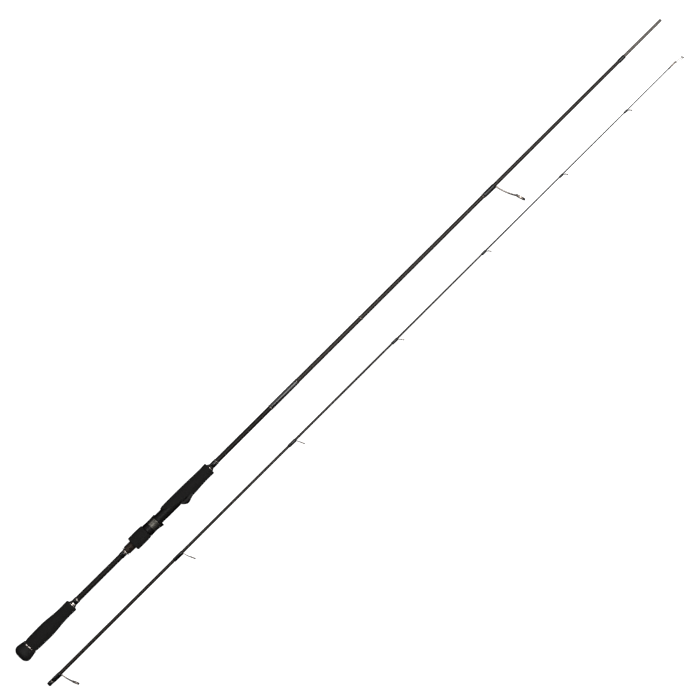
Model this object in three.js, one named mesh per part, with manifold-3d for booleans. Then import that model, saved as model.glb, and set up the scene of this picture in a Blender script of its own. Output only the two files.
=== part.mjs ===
// Two-piece spinning rod, taken apart for carrying: the butt section and the tip section lie side by side.
// Millimetres. Each section is built along its own X axis, butt end at x = 0, guides towards -Y, +Z up.
import * as THREE from "three";
import { mergeVertices } from "three/addons/utils/BufferGeometryUtils.js";
import Module from "manifold-3d";

const wasm = await Module();
wasm.setup();

// ---------------------------------------------------------------- driving dimensions

const glueGap = 0.1; // between pieces that are bonded, wrapped or pressed together
const runningGap = 0.3; // between pieces that move past each other
const overshoot = 1; // how far a cutting shape runs past what it cuts
const blankSides = 16; // facets round the blanks and everything wrapped on them
const gripSides = 24; // facets round the grips, caps and seat

const buttBlank = {
  length: 1262, // butt end of the rod to the end of the male ferrule
  start: 6, // the blank begins inside the butt cap
  buttRadius: 4.35,
  shoulderRadius: 2.4, // where the male ferrule begins
  wall: 1.1,
  boreFloor: 14, // solid plug at the butt end of the tube
};

const ferrule = {
  length: 72, // exposed male ferrule
  overlap: 67, // how much of it the tip section covers when joined
  step: 0.14, // ground down from the blank's own surface
  taper: 0.2, // radius lost along its length
  slip: 0.05, // radial clearance of the socket
  wall: 0.75,
};

const tipBlank = {
  length: 1235,
  baseRadius: 2.85,
  tipRadius: 0.7,
  taperPower: 1.25,
  wall: 0.55,
  boreEnd: 700, // the tube is solid beyond this
  boreEndRadius: 0.5,
  stations: 9, // rings of facets along the taper
};

const buttCap = {
  length: 18,
  radius: 13.1,
  faceRadius: 6.4,
  widestAt: 7.4,
  frontRadius: 11.5,
  socketDepth: 12,
};
const capRing = { width: 3, radius: 11.4 };

const rearGrip = {
  length: 82,
  rearRadius: 10.9,
  bulgeRadius: 11.3,
  bulgeAt: 34,
  waistRadius: 9.1,
  waistAt: 58,
  frontRadius: 8.7,
};
const rearGripCheck = { length: 4.2, radius: 6, lip: 0.7 };
const rearGripWrap = { length: 7, trim: 1.8 };
const bareLength = 84.5; // naked blank between the rear grip and the seat

const thread = 0.45; // thickness of a thread wrap with its coating
const trimRise = 0.08; // metallic trim thread stands this much proud

const seatWrap = { length: 9.5, trim: 1.8 };
const seatCheck = { length: 2.2, radius: 6.4, lip: 1.1 };

const seat = {
  threadLength: 53.5,
  crestRadius: 6.7,
  rootRadius: 6.15,
  pitch: 2,
  bore: 5.6,
  arborLength: 20,
  bodyLength: 68.5, // from the end of the thread to the seat's front end
  far: 7.4, // half height on the side away from the reel
  side: 8.6, // half width
  near: 8.8, // half height towards the reel before the deck is cut
  deck: 7.7, // flat towards the reel, distance from the axis
  chamfer: 1.2,
  pad: { at: 18.8, length: 26, halfWidth: 3.6, rise: 0.3 }, // where the middle of the reel foot stands
};

const fixedHood = {
  mouthAt: 47, // from the end of the thread to the foot of the mouth
  crownAt: 55.5, // to its highest point
  crown: 14,
  footAt: 61, // the roof meets the grip again
  footHeight: 11,
  halfWidth: 7.6,
  corner: 4,
  pocketHeight: 4.7,
  pocketHalfWidth: 5.9,
  pocketEndHeight: 2.6, // its roof comes down behind the crown
};

const movingHood = {
  length: 23.2,
  gapToNut: 0.4,
  rim: 0.6, // wall round the spring ring's space
  nearRise: 1.1, // it reaches further towards the reel than away from it
  sideWall: 1.4,
  waist: 0.5, // how much slimmer its middle is
  footSpace: 2.9, // height of the pocket for the rear end of the reel's foot
  pocketHalfWidth: 6.2,
  flareLength: 8,
  wall: 1,
  shellFrom: 8.4, // the metal shell starts this far from the rear end
  lip: 2.6, // bare plastic in front of the shell
  shellThickness: 0.35,
};

const lockNut = {
  length: 26.3,
  coreWall: 1.7, // of the threaded core inside the foam
  gripThickness: 2.1,
  frontTaper: 0.5,
  edge: 1.4,
  collarWall: 0.9,
  collarLength: 5.6,
  restAt: 12.5, // from the rear end of the thread to the nut at rest
  ringGroove: 0.5,
  ringRise: 0.3, // how far the spring ring stands out of its groove
  ringWidth: 1.3,
};

const foregrip = {
  lipAt: 18.5, // from the end of the thread to the rear lip on the far side
  length: 91.4,
  sweep: 43.6, // its slanted rear edge runs this far forward, along the seat's flanks
  sweepDepth: 5.7, // where that edge ends, distance from the axis towards the reel
  lipFar: 8.6,
  far: 9.5,
  near: 10.6,
  side: 10.3,
  fullAt: 15, // the lip reaches full height this far on
  frontFar: 8.2,
  frontNear: 8.7,
  frontSide: 8.5,
  frontTaper: 26,
};
const foregripCheck = { length: 3.8, radius: 5.9, lip: 0.6 };
const foregripWrap = { length: 9.8, trim: 1.8 };

const label = { at: 492.6, length: 53.8, trim: 1.6, coat: 0.3 };
const midBand = { at: 669.8, length: 1.8 };
const ferruleWrapLength = 11.4;

// A guide: where its frame leaves the blank, how high the ring's centre stands over the blank's axis, how far
// the centre is set forward of the foot, the lean of the ring in degrees, and its sizes.
const stripper = {
  name: "stripper_guide",
  fromEnd: 327, // from the end of the male ferrule
  height: 37.5,
  advance: 12.9,
  lean: 17,
  legLean: 11,
  outerRadius: 7.6,
  hoop: 0.75,
  ring: 1.35,
  ringWidth: 2.6,
  wire: 1.25,
  footWidth: 3,
  footThickness: 0.6,
  wrap: 22,
  trim: 1.6,
};
const guideOne = {
  name: "guide_1",
  fromBase: 24,
  height: 24.6,
  advance: 5.6,
  lean: 23,
  legLean: 7,
  outerRadius: 5.3,
  hoop: 0.65,
  ring: 1.1,
  ringWidth: 2.2,
  wire: 1.05,
  footWidth: 2.4,
  footThickness: 0.5,
  wrap: 16,
  trim: 1.4,
};
// The small guides, in order: distance of the ring from the tip's ring, then height, advance, lean and legLean as
// above, outerRadius, wrap and footWidth.
const runners = [
  [983, 16.2, 4.7, 23, 10, 4.2, 17, 2],
  [760, 10.3, 3.4, 23, 15, 3.6, 14, 1.6],
  [559, 6.4, 3.2, 32, 26, 2.8, 12, 1.2],
  [385, 4.7, 2.9, 33, 28, 2.5, 9, 1],
  [233, 4.2, 2.7, 33, 28, 2.4, 8, 0.8],
  [106, 3.8, 2.5, 33, 28, 2.25, 7, 0.7],
].map(([fromTip, height, advance, lean, legLean, outerRadius, wrap, footWidth]) => {
  return { fromTip, height, advance, lean, legLean, outerRadius, wrap, footWidth };
});
const runnerSizes = { hoop: 0.5, ring: 0.75, ringWidth: 1.6, wire: 0.7, footThickness: 0.3 };

const tipTop = {
  tubeLength: 9,
  tubeWall: 0.45,
  reach: 12, // from the tube's front end to the ring's centre
  drop: 2.2, // the ring's centre hangs this much towards the guides' side
  lean: 25,
  outerRadius: 2.2,
  wrap: 5,
};

const tipBaseWrapStart = 0.3; // the socket's mouth stands out of its wrap by this much
const sectionSpacing = 56.2; // between the two sections' axes as they lie

// ---------------------------------------------------------------- materials

const paint = (color, roughness, metalness = 0) => () =>
  new THREE.MeshStandardMaterial({ color, roughness, metalness });
const foam = paint(0x21201f, 0.95);
const capRubber = paint(0x1d1c1b, 0.8);
const carbon = paint(0x4b4641, 0.35);
const coatedThread = paint(0x0d0c0c, 0.15);
const metallicThread = paint(0xc9bfb6, 0.3, 0.8);
const polishedMetal = paint(0xcfc6c0, 0.2, 1);
const gunmetal = paint(0x7d786f, 0.3, 0.9);
const seatPlastic = paint(0x151414, 0.25);
const springSteel = paint(0x9a9a9a, 0.3, 1);
const steelFrame = paint(0xc4b8b0, 0.25, 1);
const ceramic = paint(0x33302e, 0.12);
const arborFoam = paint(0x8a8378, 0.9);

// ---------------------------------------------------------------- solids

function solid(geometry) {
  const bare = geometry.clone();
  bare.deleteAttribute("normal");
  bare.deleteAttribute("uv");
  const merged = mergeVertices(bare, 1e-4);
  const vertProperties = new Float32Array(merged.attributes.position.array);
  const triVerts = new Uint32Array(merged.index.array);
  return new wasm.Manifold(new wasm.Mesh({ numProp: 3, vertProperties, triVerts }));
}

function geometryOf(shape) {
  const mesh = shape.getMesh();
  const geometry = new THREE.BufferGeometry();
  geometry.setAttribute("position", new THREE.BufferAttribute(mesh.vertProperties, 3));
  geometry.setIndex(new THREE.BufferAttribute(mesh.triVerts, 1));
  geometry.computeVertexNormals();
  return geometry;
}

// Twice the area that a profile encloses, with its ends joined: its sign is the way round that it runs.
function turnSense(profile) {
  return profile.reduce((sum, [x, r], i) => {
    const [nextX, nextR] = profile[(i + 1) % profile.length];
    return sum + x * nextR - nextX * r;
  }, 0);
}

// A solid of revolution about the X axis. The profile is [x, radius] points, from axis to axis or a loop.
function turned(profile, sides = gripSides) {
  const points = turnSense(profile) > 0 ? [...profile].reverse() : [...profile];
  const onAxis = points[0][1] === 0 && points[points.length - 1][1] === 0;
  if (!onAxis) points.push(points[0]);
  const geometry = new THREE.LatheGeometry(
    points.map(([x, r]) => new THREE.Vector2(r, x)),
    sides,
  );
  return geometry.rotateZ(-Math.PI / 2);
}

// A tube along X: outer and inner radius are functions of x, or numbers.
function sleeve(stations, outer, inner, sides = blankSides) {
  const at = (radius, x) => (typeof radius === "function" ? radius(x) : radius);
  const out = stations.map((x) => [x, at(outer, x)]);
  const back = [...stations].reverse().map((x) => [x, at(inner, x)]);
  return turned([...out, ...back], sides);
}

// A body along X whose sections are two half ellipses: far is its +Y reach, near its -Y reach and side its
// half width.
function lofted(stations, sides = gripSides) {
  const rings = stations.map(({ x }) => [x, 1]);
  const profile = [[stations[0].x, 0], ...rings, [stations[stations.length - 1].x, 0]];
  const geometry = turned(profile, sides);
  const position = geometry.attributes.position;
  for (let i = 0; i < position.count; i++) {
    const x = position.getX(i);
    const station = stations.reduce((best, s) => (Math.abs(s.x - x) < Math.abs(best.x - x) ? s : best));
    const y = position.getY(i);
    position.setY(i, y * (y > 0 ? station.far : station.near));
    position.setZ(i, position.getZ(i) * station.side);
  }
  return geometry;
}

// Moves the -Y half of a turned geometry outwards, so that a wrap clears the guide foot under it.
// Its bore reaches factor times as far there, and its thickness stays.
function bulged(geometry, bore, factor) {
  const position = geometry.attributes.position;
  for (let i = 0; i < position.count; i++) {
    const y = position.getY(i);
    const radius = Math.hypot(y, position.getZ(i));
    if (y < 0) position.setY(i, y * (1 + ((factor - 1) * bore) / radius));
  }
  return geometry;
}

function box(low, high) {
  const size = low.map((value, i) => high[i] - value);
  const middle = low.map((value, i) => (value + high[i]) / 2);
  return new THREE.BoxGeometry(...size).translate(...middle);
}

function outline(points) {
  return new THREE.Shape(points.map(([x, y]) => new THREE.Vector2(x, y)));
}

// An outline in the XY plane, given thickness 2 * half along Z.
function plate(points, half) {
  const shape = points instanceof THREE.Shape ? points : outline(points);
  const options = { depth: 2 * half, bevelEnabled: false, curveSegments: 6 };
  return new THREE.ExtrudeGeometry(shape, options).translate(0, 0, -half);
}

// ---------------------------------------------------------------- stations of the butt section

const capRingStart = buttCap.length;
const rearGripStart = capRingStart + capRing.width;
const rearGripEnd = rearGripStart + rearGrip.length;
const rearCheckEnd = rearGripEnd + rearGripCheck.length;
const rearWrapEnd = rearCheckEnd + rearGripWrap.length;
const seatWrapStart = rearWrapEnd + bareLength;
const seatWrapEnd = seatWrapStart + seatWrap.length;
const seatStart = seatWrapEnd + seatCheck.length;
const threadEnd = seatStart + seat.threadLength;
const seatEnd = threadEnd + seat.bodyLength;
const nutStart = seatStart + lockNut.restAt;
const hoodStart = nutStart + lockNut.length + movingHood.gapToNut;
const hoodEnd = hoodStart + movingHood.length;
const foregripStart = threadEnd + foregrip.lipAt;
const foregripEnd = foregripStart + foregrip.length;
const foregripCheckEnd = foregripEnd + foregripCheck.length;
const ferruleStart = buttBlank.length - ferrule.length;
const stripperAt = buttBlank.length - stripper.fromEnd;
const tipTopAt = tipBlank.length + tipTop.reach;

function buttRadius(x) {
  const slope = (buttBlank.shoulderRadius - buttBlank.buttRadius) / (ferruleStart - buttBlank.start);
  return buttBlank.buttRadius + slope * (x - buttBlank.start);
}

function ferruleRadius(x) {
  const along = (x - ferruleStart) / ferrule.length;
  return buttBlank.shoulderRadius - ferrule.step - ferrule.taper * along;
}

function tipRadius(x) {
  const left = Math.max(0, 1 - x / tipBlank.length);
  return tipBlank.tipRadius + (tipBlank.baseRadius - tipBlank.tipRadius) * left ** tipBlank.taperPower;
}

// ---------------------------------------------------------------- pieces wrapped on a blank

// A band of thread round a blank, with its ends sloping down to the surface.
function band(start, end, radius, thickness) {
  const edge = Math.min(thickness, (end - start) / 4);
  const inner = (x) => radius(x) + glueGap;
  const outer = (x) => inner(x) + thickness;
  return turned(
    [
      [start, inner(start)],
      [start + edge, outer(start + edge)],
      [end - edge, outer(end - edge)],
      [end, inner(end)],
    ],
    blankSides,
  );
}

// A cone of metal that closes the front of a grip against the blank.
function windingCheck(start, { length, radius, lip }) {
  const end = start + length - glueGap;
  const inner = (x) => buttRadius(x) + glueGap;
  return turned(
    [
      [start, inner(start)],
      [start, radius],
      [start + lip, radius],
      [end - lip, inner(end) + 2 * lip],
      [end, inner(end) + lip],
      [end, inner(end)],
    ],
    blankSides,
  );
}

// ---------------------------------------------------------------- guides

// Where the foot of a guide lies against its blank: the side towards the guides.
const footTop = (guide, radius) => radius(guide.x - guide.wrap) + glueGap;

function guideAxes(guide) {
  const lean = THREE.MathUtils.degToRad(guide.lean);
  const outward = new THREE.Vector3(Math.sin(lean), -Math.cos(lean), 0);
  const centre = new THREE.Vector3(guide.x + guide.advance, -guide.height, 0);
  return { lean, outward, centre };
}

// Turns a ring made round the X axis into the plane of the guide's ring.
function placedRing(geometry, guide) {
  const { lean, centre } = guideAxes(guide);
  return geometry.rotateZ(lean).translate(centre.x, centre.y, centre.z);
}

// The hoop starts a little too thick inside: the seat for the ring is cut out of it with the legs' ends.
function hoopGeometry(guide, sides) {
  const outer = guide.outerRadius;
  const inner = outer - guide.hoop - 2 * glueGap;
  const half = guide.ringWidth * 0.3;
  const flat = half * 0.5;
  return turned(
    [
      [-half, inner],
      [-flat, outer],
      [flat, outer],
      [half, inner],
    ],
    sides,
  );
}

function ringGeometry(guide, sides) {
  const outer = guide.outerRadius - guide.hoop - glueGap;
  const inner = outer - guide.ring;
  const half = guide.ringWidth / 2;
  const shoulder = outer - guide.ring * 0.35;
  return turned(
    [
      [-half * 0.7, outer],
      [-half, shoulder],
      [0, inner],
      [half, shoulder],
      [half * 0.7, outer],
    ],
    sides,
  );
}

const hexagon = (radius) => {
  const points = Array.from({ length: 6 }, (_, i) => {
    const angle = (i * Math.PI) / 3;
    return new THREE.Vector2(radius * Math.cos(angle), radius * Math.sin(angle));
  });
  return new THREE.Shape(points);
};

function wireAlong(curve, thickness, steps) {
  const options = { steps, bevelEnabled: false, extrudePath: curve };
  return new THREE.ExtrudeGeometry(hexagon(thickness / 2), options);
}

// One leg of a frame, from the foot to the hoop's flank on its side (+1 or -1 in Z).
function legGeometry(guide, radius, flank) {
  const { outward, centre } = guideAxes(guide);
  const wire = guide.wire;
  const middleRadius = guide.outerRadius - guide.hoop / 2;
  const spread = THREE.MathUtils.degToRad(48);
  const end = centre
    .clone()
    .addScaledVector(outward, -middleRadius * Math.cos(spread))
    .add(new THREE.Vector3(0, 0, flank * middleRadius * Math.sin(spread)));
  const startHeight = footTop(guide, radius) + guide.footThickness / 2;
  const startSide = flank * Math.max(guide.footWidth / 2 - wire / 2, 0.1);
  const start = new THREE.Vector3(guide.x - wire / 2, -startHeight, startSide);
  const rise = (-end.y - startHeight) * 0.55;
  const firstLean = THREE.MathUtils.degToRad(guide.legLean);
  const bend = new THREE.Vector3(start.x + rise * Math.tan(firstLean), start.y - rise, startSide * 1.4);
  return wireAlong(new THREE.QuadraticBezierCurve3(start, bend, end), wire, 4);
}

// The foot is a tongue lying along the blank under its wrap.
function footGeometry(guide, radius) {
  const front = guide.x;
  const rear = guide.x - guide.wrap + 2 * guide.footThickness;
  const half = guide.footWidth / 2;
  const tongue = new THREE.Shape();
  tongue.moveTo(front, -half);
  tongue.lineTo(front, half);
  tongue.lineTo(rear + half, half * 0.7);
  tongue.lineTo(rear, 0);
  tongue.lineTo(rear + half, -half * 0.7);
  tongue.closePath();
  const options = { depth: guide.footThickness, bevelEnabled: false };
  const foot = new THREE.ExtrudeGeometry(tongue, options).rotateX(Math.PI / 2);
  return foot.translate(0, -footTop(guide, radius), 0);
}

function frameGeometry(guide, radius, sides) {
  const hoop = solid(placedRing(hoopGeometry(guide, sides), guide));
  const legs = [-1, 1].map((flank) => solid(legGeometry(guide, radius, flank)));
  const foot = solid(footGeometry(guide, radius));
  const joined = legs.reduce((sum, leg) => sum.add(leg), hoop).add(foot);
  const seatRadius = guide.outerRadius - guide.hoop;
  const opening = turned(
    [
      [-guide.outerRadius, 0],
      [-guide.outerRadius, seatRadius],
      [guide.outerRadius, seatRadius],
      [guide.outerRadius, 0],
    ],
    sides,
  );
  return geometryOf(joined.subtract(solid(placedRing(opening, guide))));
}

// The wrap over a guide's foot: its -Y half is bulged so that the bore clears the foot's edges.
function guideWrapGeometry(guide, radius) {
  const start = guide.x - guide.wrap;
  const end = guide.x - guide.wire - glueGap;
  const bore = radius(end) + glueGap;
  const footReach = footTop(guide, radius) + guide.footThickness + glueGap;
  const half = guide.footWidth / 2 + glueGap;
  const factor = footReach / Math.sqrt(bore ** 2 - half ** 2);
  return bulged(band(start, end, radius, thread), bore, Math.max(1, factor));
}

function guideMeshes(guide, radius, sides) {
  return [
    named(guide.name + "_frame", frameGeometry(guide, radius, sides), steelFrame),
    named(guide.name + "_ring", placedRing(ringGeometry(guide, sides), guide), ceramic),
  ];
}

// ---------------------------------------------------------------- butt cap, grips and blank

function buttCapGeometry() {
  const { length, radius, faceRadius, widestAt, frontRadius, socketDepth } = buttCap;
  const bore = buttBlank.buttRadius + glueGap;
  return turned([
    [0, 0],
    [0, faceRadius],
    [1.4, faceRadius + 2.2],
    [widestAt - 1.6, radius - 0.8],
    [widestAt, radius],
    [widestAt + 2, radius - 0.1],
    [length, frontRadius],
    [length, bore],
    [length - socketDepth - glueGap, bore],
    [length - socketDepth - glueGap, 0],
  ]);
}

function capRingGeometry() {
  const x = capRingStart + glueGap;
  const end = capRingStart + capRing.width - glueGap;
  const bore = buttBlank.buttRadius + glueGap;
  const edge = 0.5;
  return turned([
    [x, bore],
    [x, capRing.radius - edge],
    [x + edge, capRing.radius],
    [end - edge, capRing.radius],
    [end, capRing.radius - edge],
    [end, bore],
  ]);
}

function rearGripGeometry() {
  const g = rearGrip;
  const end = rearGripEnd - glueGap;
  const bore = (x) => buttRadius(x) + glueGap;
  return turned([
    [rearGripStart, bore(rearGripStart)],
    [rearGripStart, g.rearRadius - 0.6],
    [rearGripStart + 1, g.rearRadius],
    [rearGripStart + g.bulgeAt / 2, (g.rearRadius + g.bulgeRadius) / 2 + 0.1],
    [rearGripStart + g.bulgeAt, g.bulgeRadius],
    [rearGripStart + (g.bulgeAt + g.waistAt) / 2, (g.bulgeRadius + g.waistRadius) / 2],
    [rearGripStart + g.waistAt, g.waistRadius],
    [end - 1.5, g.frontRadius],
    [end, g.frontRadius - 0.7],
    [end, bore(end)],
  ]);
}

function buttBlankGeometry() {
  const { start, wall, boreFloor, length } = buttBlank;
  const bore = (x) => buttRadius(x) - wall;
  const tubeEnd = ferruleRadius(length) - ferrule.wall;
  return turned(
    [
      [start, 0],
      [start, buttRadius(start)],
      [ferruleStart, buttRadius(ferruleStart)],
      [ferruleStart + 0.5, ferruleRadius(ferruleStart)],
      [length - 0.4, ferruleRadius(length)],
      [length, ferruleRadius(length) - 0.3],
      [length, tubeEnd],
      [ferruleStart, tubeEnd],
      [ferruleStart - 20, bore(ferruleStart - 20)],
      [start + boreFloor, bore(start + boreFloor)],
      [start + boreFloor, 0],
    ],
    blankSides,
  );
}

function tipBlankGeometry() {
  const { length, stations, boreEnd, boreEndRadius } = tipBlank;
  // When joined, the socket's mouth stands this far along the male ferrule.
  const mouth = ferruleStart + ferrule.length - ferrule.overlap;
  const socket = (x) => ferruleRadius(mouth + x) + ferrule.slip;
  const outer = Array.from({ length: stations + 1 }, (_, i) => {
    const x = (length * i) / stations;
    return [x, tipRadius(x)];
  });
  return turned(
    [
      ...outer,
      [length, 0],
      [boreEnd, 0],
      [boreEnd, boreEndRadius],
      [ferrule.overlap + 12, tipRadius(ferrule.overlap) - tipBlank.wall - 0.4],
      [ferrule.overlap + 2, socket(ferrule.overlap)],
      [0, socket(0)],
    ],
    blankSides,
  );
}

// ---------------------------------------------------------------- reel seat

// A block in the shape of the fixed hood, grown all round by spare.
function hoodBlock(spare) {
  const h = fixedHood;
  const flat = -seat.deck + overshoot;
  const profile = [
    [threadEnd + h.mouthAt - spare, flat],
    [threadEnd + h.mouthAt - spare, -seat.deck - 0.9],
    [threadEnd + h.crownAt - 1.2 - spare, -h.crown + 0.5 - spare],
    [threadEnd + h.crownAt, -h.crown - spare],
    [threadEnd + h.footAt, -h.footHeight - 0.8 - spare],
    [seatEnd + spare, -h.footHeight + 1.2 - spare],
    [seatEnd + spare, flat],
  ];
  const side = solid(plate(profile, h.halfWidth + 2));
  const half = h.halfWidth + spare;
  const top = h.crown + spare;
  const arch = new THREE.Shape();
  arch.moveTo(-half, 0);
  arch.lineTo(-half, top - h.corner);
  arch.absarc(-half + h.corner, top - h.corner, h.corner, Math.PI, Math.PI / 2, true);
  arch.lineTo(half - h.corner, top);
  arch.absarc(half - h.corner, top - h.corner, h.corner, Math.PI / 2, 0, true);
  arch.lineTo(half, 0);
  arch.closePath();
  const length = seat.bodyLength + 4;
  const options = { depth: length, bevelEnabled: false, curveSegments: 4 };
  // The arch is drawn with Z to the right and -Y upwards, then laid along X.
  const section = new THREE.ExtrudeGeometry(arch, options).applyMatrix4(
    new THREE.Matrix4().makeBasis(
      new THREE.Vector3(0, 0, -1),
      new THREE.Vector3(0, -1, 0),
      new THREE.Vector3(-1, 0, 0),
    ),
  );
  section.translate(threadEnd + length, 0, 0);
  return side.intersect(solid(section));
}

function seatCore(spare, start, end) {
  const grown = { far: seat.far + spare, near: seat.near + spare, side: seat.side + spare };
  const body = solid(
    lofted([
      { x: start, ...grown },
      { x: end, ...grown },
    ]),
  );
  const below = box([start - 1, -20, -20], [end + 1, -seat.deck - spare, 20]);
  return body.subtract(solid(below));
}

function reelSeatGeometry() {
  const { crestRadius, rootRadius, pitch, bore, chamfer } = seat;
  const turns = Math.floor((seat.threadLength - pitch) / pitch);
  const ridges = [];
  for (let i = 0; i < turns; i++) {
    const x = seatStart + 1 + i * pitch;
    ridges.push([x, rootRadius], [x + pitch / 2, crestRadius]);
  }
  const tail = solid(
    turned(
      [
        [seatStart, 0],
        [seatStart, rootRadius - 0.3],
        ...ridges,
        [threadEnd + 1, rootRadius],
        [threadEnd + 1, 0],
      ],
      blankSides,
    ),
  );
  const slim = { far: seat.far - chamfer, near: seat.deck - chamfer, side: seat.side - chamfer };
  const shoulder = solid(
    lofted([
      { x: threadEnd, ...slim },
      { x: threadEnd + chamfer, far: seat.far, near: seat.near, side: seat.side },
      { x: threadEnd + chamfer + 1, far: seat.far, near: seat.near, side: seat.side },
    ]),
  ).subtract(solid(box([threadEnd - 1, -20, -20], [threadEnd + 5, -seat.deck, 20])));
  const h = fixedHood;
  const roof = -seat.deck - h.pocketHeight;
  const pocket = plate(
    [
      [threadEnd + h.mouthAt - overshoot, -seat.deck],
      [threadEnd + h.mouthAt - overshoot, roof],
      [threadEnd + h.crownAt + 0.5, roof],
      [threadEnd + h.footAt, -seat.deck - h.pocketEndHeight],
      [threadEnd + h.footAt, -seat.deck],
    ],
    h.pocketHalfWidth,
  );
  const padStart = threadEnd + seat.pad.at;
  const pad = box(
    [padStart, -seat.deck - seat.pad.rise, -seat.pad.halfWidth],
    [padStart + seat.pad.length, -seat.deck + 1, seat.pad.halfWidth],
  );
  const through = sleeveCutter(seatStart - overshoot, seatEnd + overshoot, bore);
  const shape = tail
    .add(shoulder)
    .add(seatCore(0, threadEnd + chamfer, seatEnd))
    .add(hoodBlock(0))
    .subtract(solid(pocket))
    .add(solid(pad))
    .subtract(through);
  return geometryOf(shape);
}

function sleeveCutter(start, end, radius, sides = gripSides) {
  return solid(
    turned(
      [
        [start, 0],
        [start, radius],
        [end, radius],
        [end, 0],
      ],
      sides,
    ),
  );
}

function foregripGeometry() {
  const g = foregrip;
  const full = { far: g.far, near: g.near, side: g.side };
  const front = { far: g.frontFar, near: g.frontNear, side: g.frontSide };
  const end = foregripEnd - glueGap;
  const body = solid(
    lofted([
      { x: foregripStart, ...full, far: g.lipFar },
      { x: foregripStart + g.fullAt, ...full },
      { x: seatEnd + 1, ...full },
      { x: foregripEnd - g.frontTaper, far: g.far, near: g.near - 0.9, side: g.side - 0.9 },
      { x: end - 1.2, ...front },
      { x: end, far: g.frontFar - 0.8, near: g.frontNear - 0.8, side: g.frontSide - 0.8 },
    ]),
  );
  const hollow = seatCore(runningGap, foregripStart - overshoot, seatEnd + runningGap);
  const bore = sleeveCutter(seatEnd, foregripEnd + overshoot, buttRadius(seatEnd) + glueGap);
  // The rear end is cut away on a curve, from the far side's lip down and forward beside the fixed hood.
  const reach = 2 * g.near;
  const cut = new THREE.Shape();
  cut.moveTo(foregripStart - reach, g.far + 1);
  cut.lineTo(foregripStart, g.far + 1);
  cut.lineTo(foregripStart, g.far);
  cut.quadraticCurveTo(
    foregripStart + g.sweep * 0.36,
    -g.sweepDepth,
    foregripStart + g.sweep,
    -g.sweepDepth - 0.3,
  );
  cut.lineTo(foregripStart + g.sweep + 0.8, -reach);
  cut.lineTo(foregripStart - reach, -reach);
  cut.closePath();
  const wedge = plate(cut, 2 * g.side);
  const shape = body
    .subtract(hollow)
    .subtract(bore)
    .subtract(hoodBlock(runningGap))
    .subtract(solid(wedge));
  return geometryOf(shape);
}

function arborGeometry(start, end) {
  return sleeve([start, end], seat.bore - glueGap, (x) => buttRadius(x) + glueGap);
}

// ---------------------------------------------------------------- locking nut and moving hood

const nutBore = seat.crestRadius + runningGap;
const nutCoreRadius = nutBore + lockNut.coreWall;
const collarRadius = nutBore + lockNut.collarWall;
const springRadius = collarRadius + lockNut.ringRise;
const nutEnd = nutStart + lockNut.length;
const collarEnd = nutEnd + lockNut.collarLength;
const ringStart = collarEnd - 2 * lockNut.ringWidth - runningGap;

function lockNutGeometry() {
  const groove = collarRadius - lockNut.ringGroove;
  const ringEnd = ringStart + lockNut.ringWidth;
  return turned([
    [nutStart + 0.8, nutBore],
    [nutStart + 0.8, nutCoreRadius - glueGap],
    [nutEnd, nutCoreRadius - glueGap],
    [nutEnd, collarRadius],
    [ringStart - glueGap, collarRadius],
    [ringStart - glueGap, groove],
    [ringEnd + glueGap, groove],
    [ringEnd + glueGap, collarRadius],
    [collarEnd, collarRadius],
    [collarEnd, nutBore],
  ]);
}

function nutGripGeometry() {
  const { gripThickness, frontTaper, edge, length } = lockNut;
  const gripRadius = nutCoreRadius + gripThickness;
  const frontRadius = gripRadius - frontTaper;
  return turned([
    [nutStart, nutCoreRadius],
    [nutStart, gripRadius - edge],
    [nutStart + edge, gripRadius],
    [nutStart + length * 0.75, gripRadius],
    [nutEnd - 0.6, frontRadius],
    [nutEnd, frontRadius - 0.6],
    [nutEnd, nutCoreRadius],
  ]);
}

// An open spring ring in the collar's groove, which holds the hood to the turning nut.
function retainingRingGeometry() {
  const inner = collarRadius - lockNut.ringGroove + glueGap;
  const outer = springRadius;
  const gapAngle = 0.22;
  const split = new THREE.Shape();
  split.absarc(0, 0, outer, gapAngle, 2 * Math.PI - gapAngle, false);
  split.absarc(0, 0, inner, 2 * Math.PI - gapAngle, gapAngle, true);
  split.closePath();
  const options = { depth: lockNut.ringWidth, bevelEnabled: false, curveSegments: 12 };
  return new THREE.ExtrudeGeometry(split, options).rotateY(Math.PI / 2).translate(ringStart, 0, 0);
}

const hoodShellStart = hoodStart + movingHood.shellFrom;
const hoodShellEnd = hoodEnd - movingHood.lip;

// The moving hood's outside, as the stations that its shape turns at.
function hoodOutline() {
  const h = movingHood;
  const far = springRadius + runningGap + h.rim;
  const near = far + h.nearRise;
  const side = Math.max(seat.side + runningGap + h.sideWall, far);
  const flareNear = seat.deck + h.footSpace + h.wall;
  const middle = { far: far - h.waist, near: near - h.waist, side: side - h.waist };
  const edge = 0.7;
  return [
    { x: hoodStart, far: far - edge, near: near - edge, side: side - edge },
    { x: hoodStart + edge, far, near, side },
    { x: hoodShellStart, ...middle },
    { x: hoodEnd - h.flareLength, ...middle, near },
    { x: hoodEnd - 1, far, near: flareNear, side },
    { x: hoodEnd, far: far - 0.2, near: flareNear - 0.3, side: side - 0.2 },
  ];
}

// The hood's outside at x, taken in by inset.
function hoodStation(x, inset) {
  const outlineStations = hoodOutline();
  const next = outlineStations.findIndex((s, i) => i > 0 && s.x >= x);
  const [a, b] = [outlineStations[next - 1], outlineStations[next]];
  const share = (x - a.x) / (b.x - a.x);
  const mix = (key) => a[key] + (b[key] - a[key]) * share - inset;
  return { x, far: mix("far"), near: mix("near"), side: mix("side") };
}

// Stations along the metal shell, all taken in by inset.
function shellStations(start, end, inset) {
  const turn = hoodEnd - movingHood.flareLength;
  return [start, turn, end].map((x) => hoodStation(x, inset));
}

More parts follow.
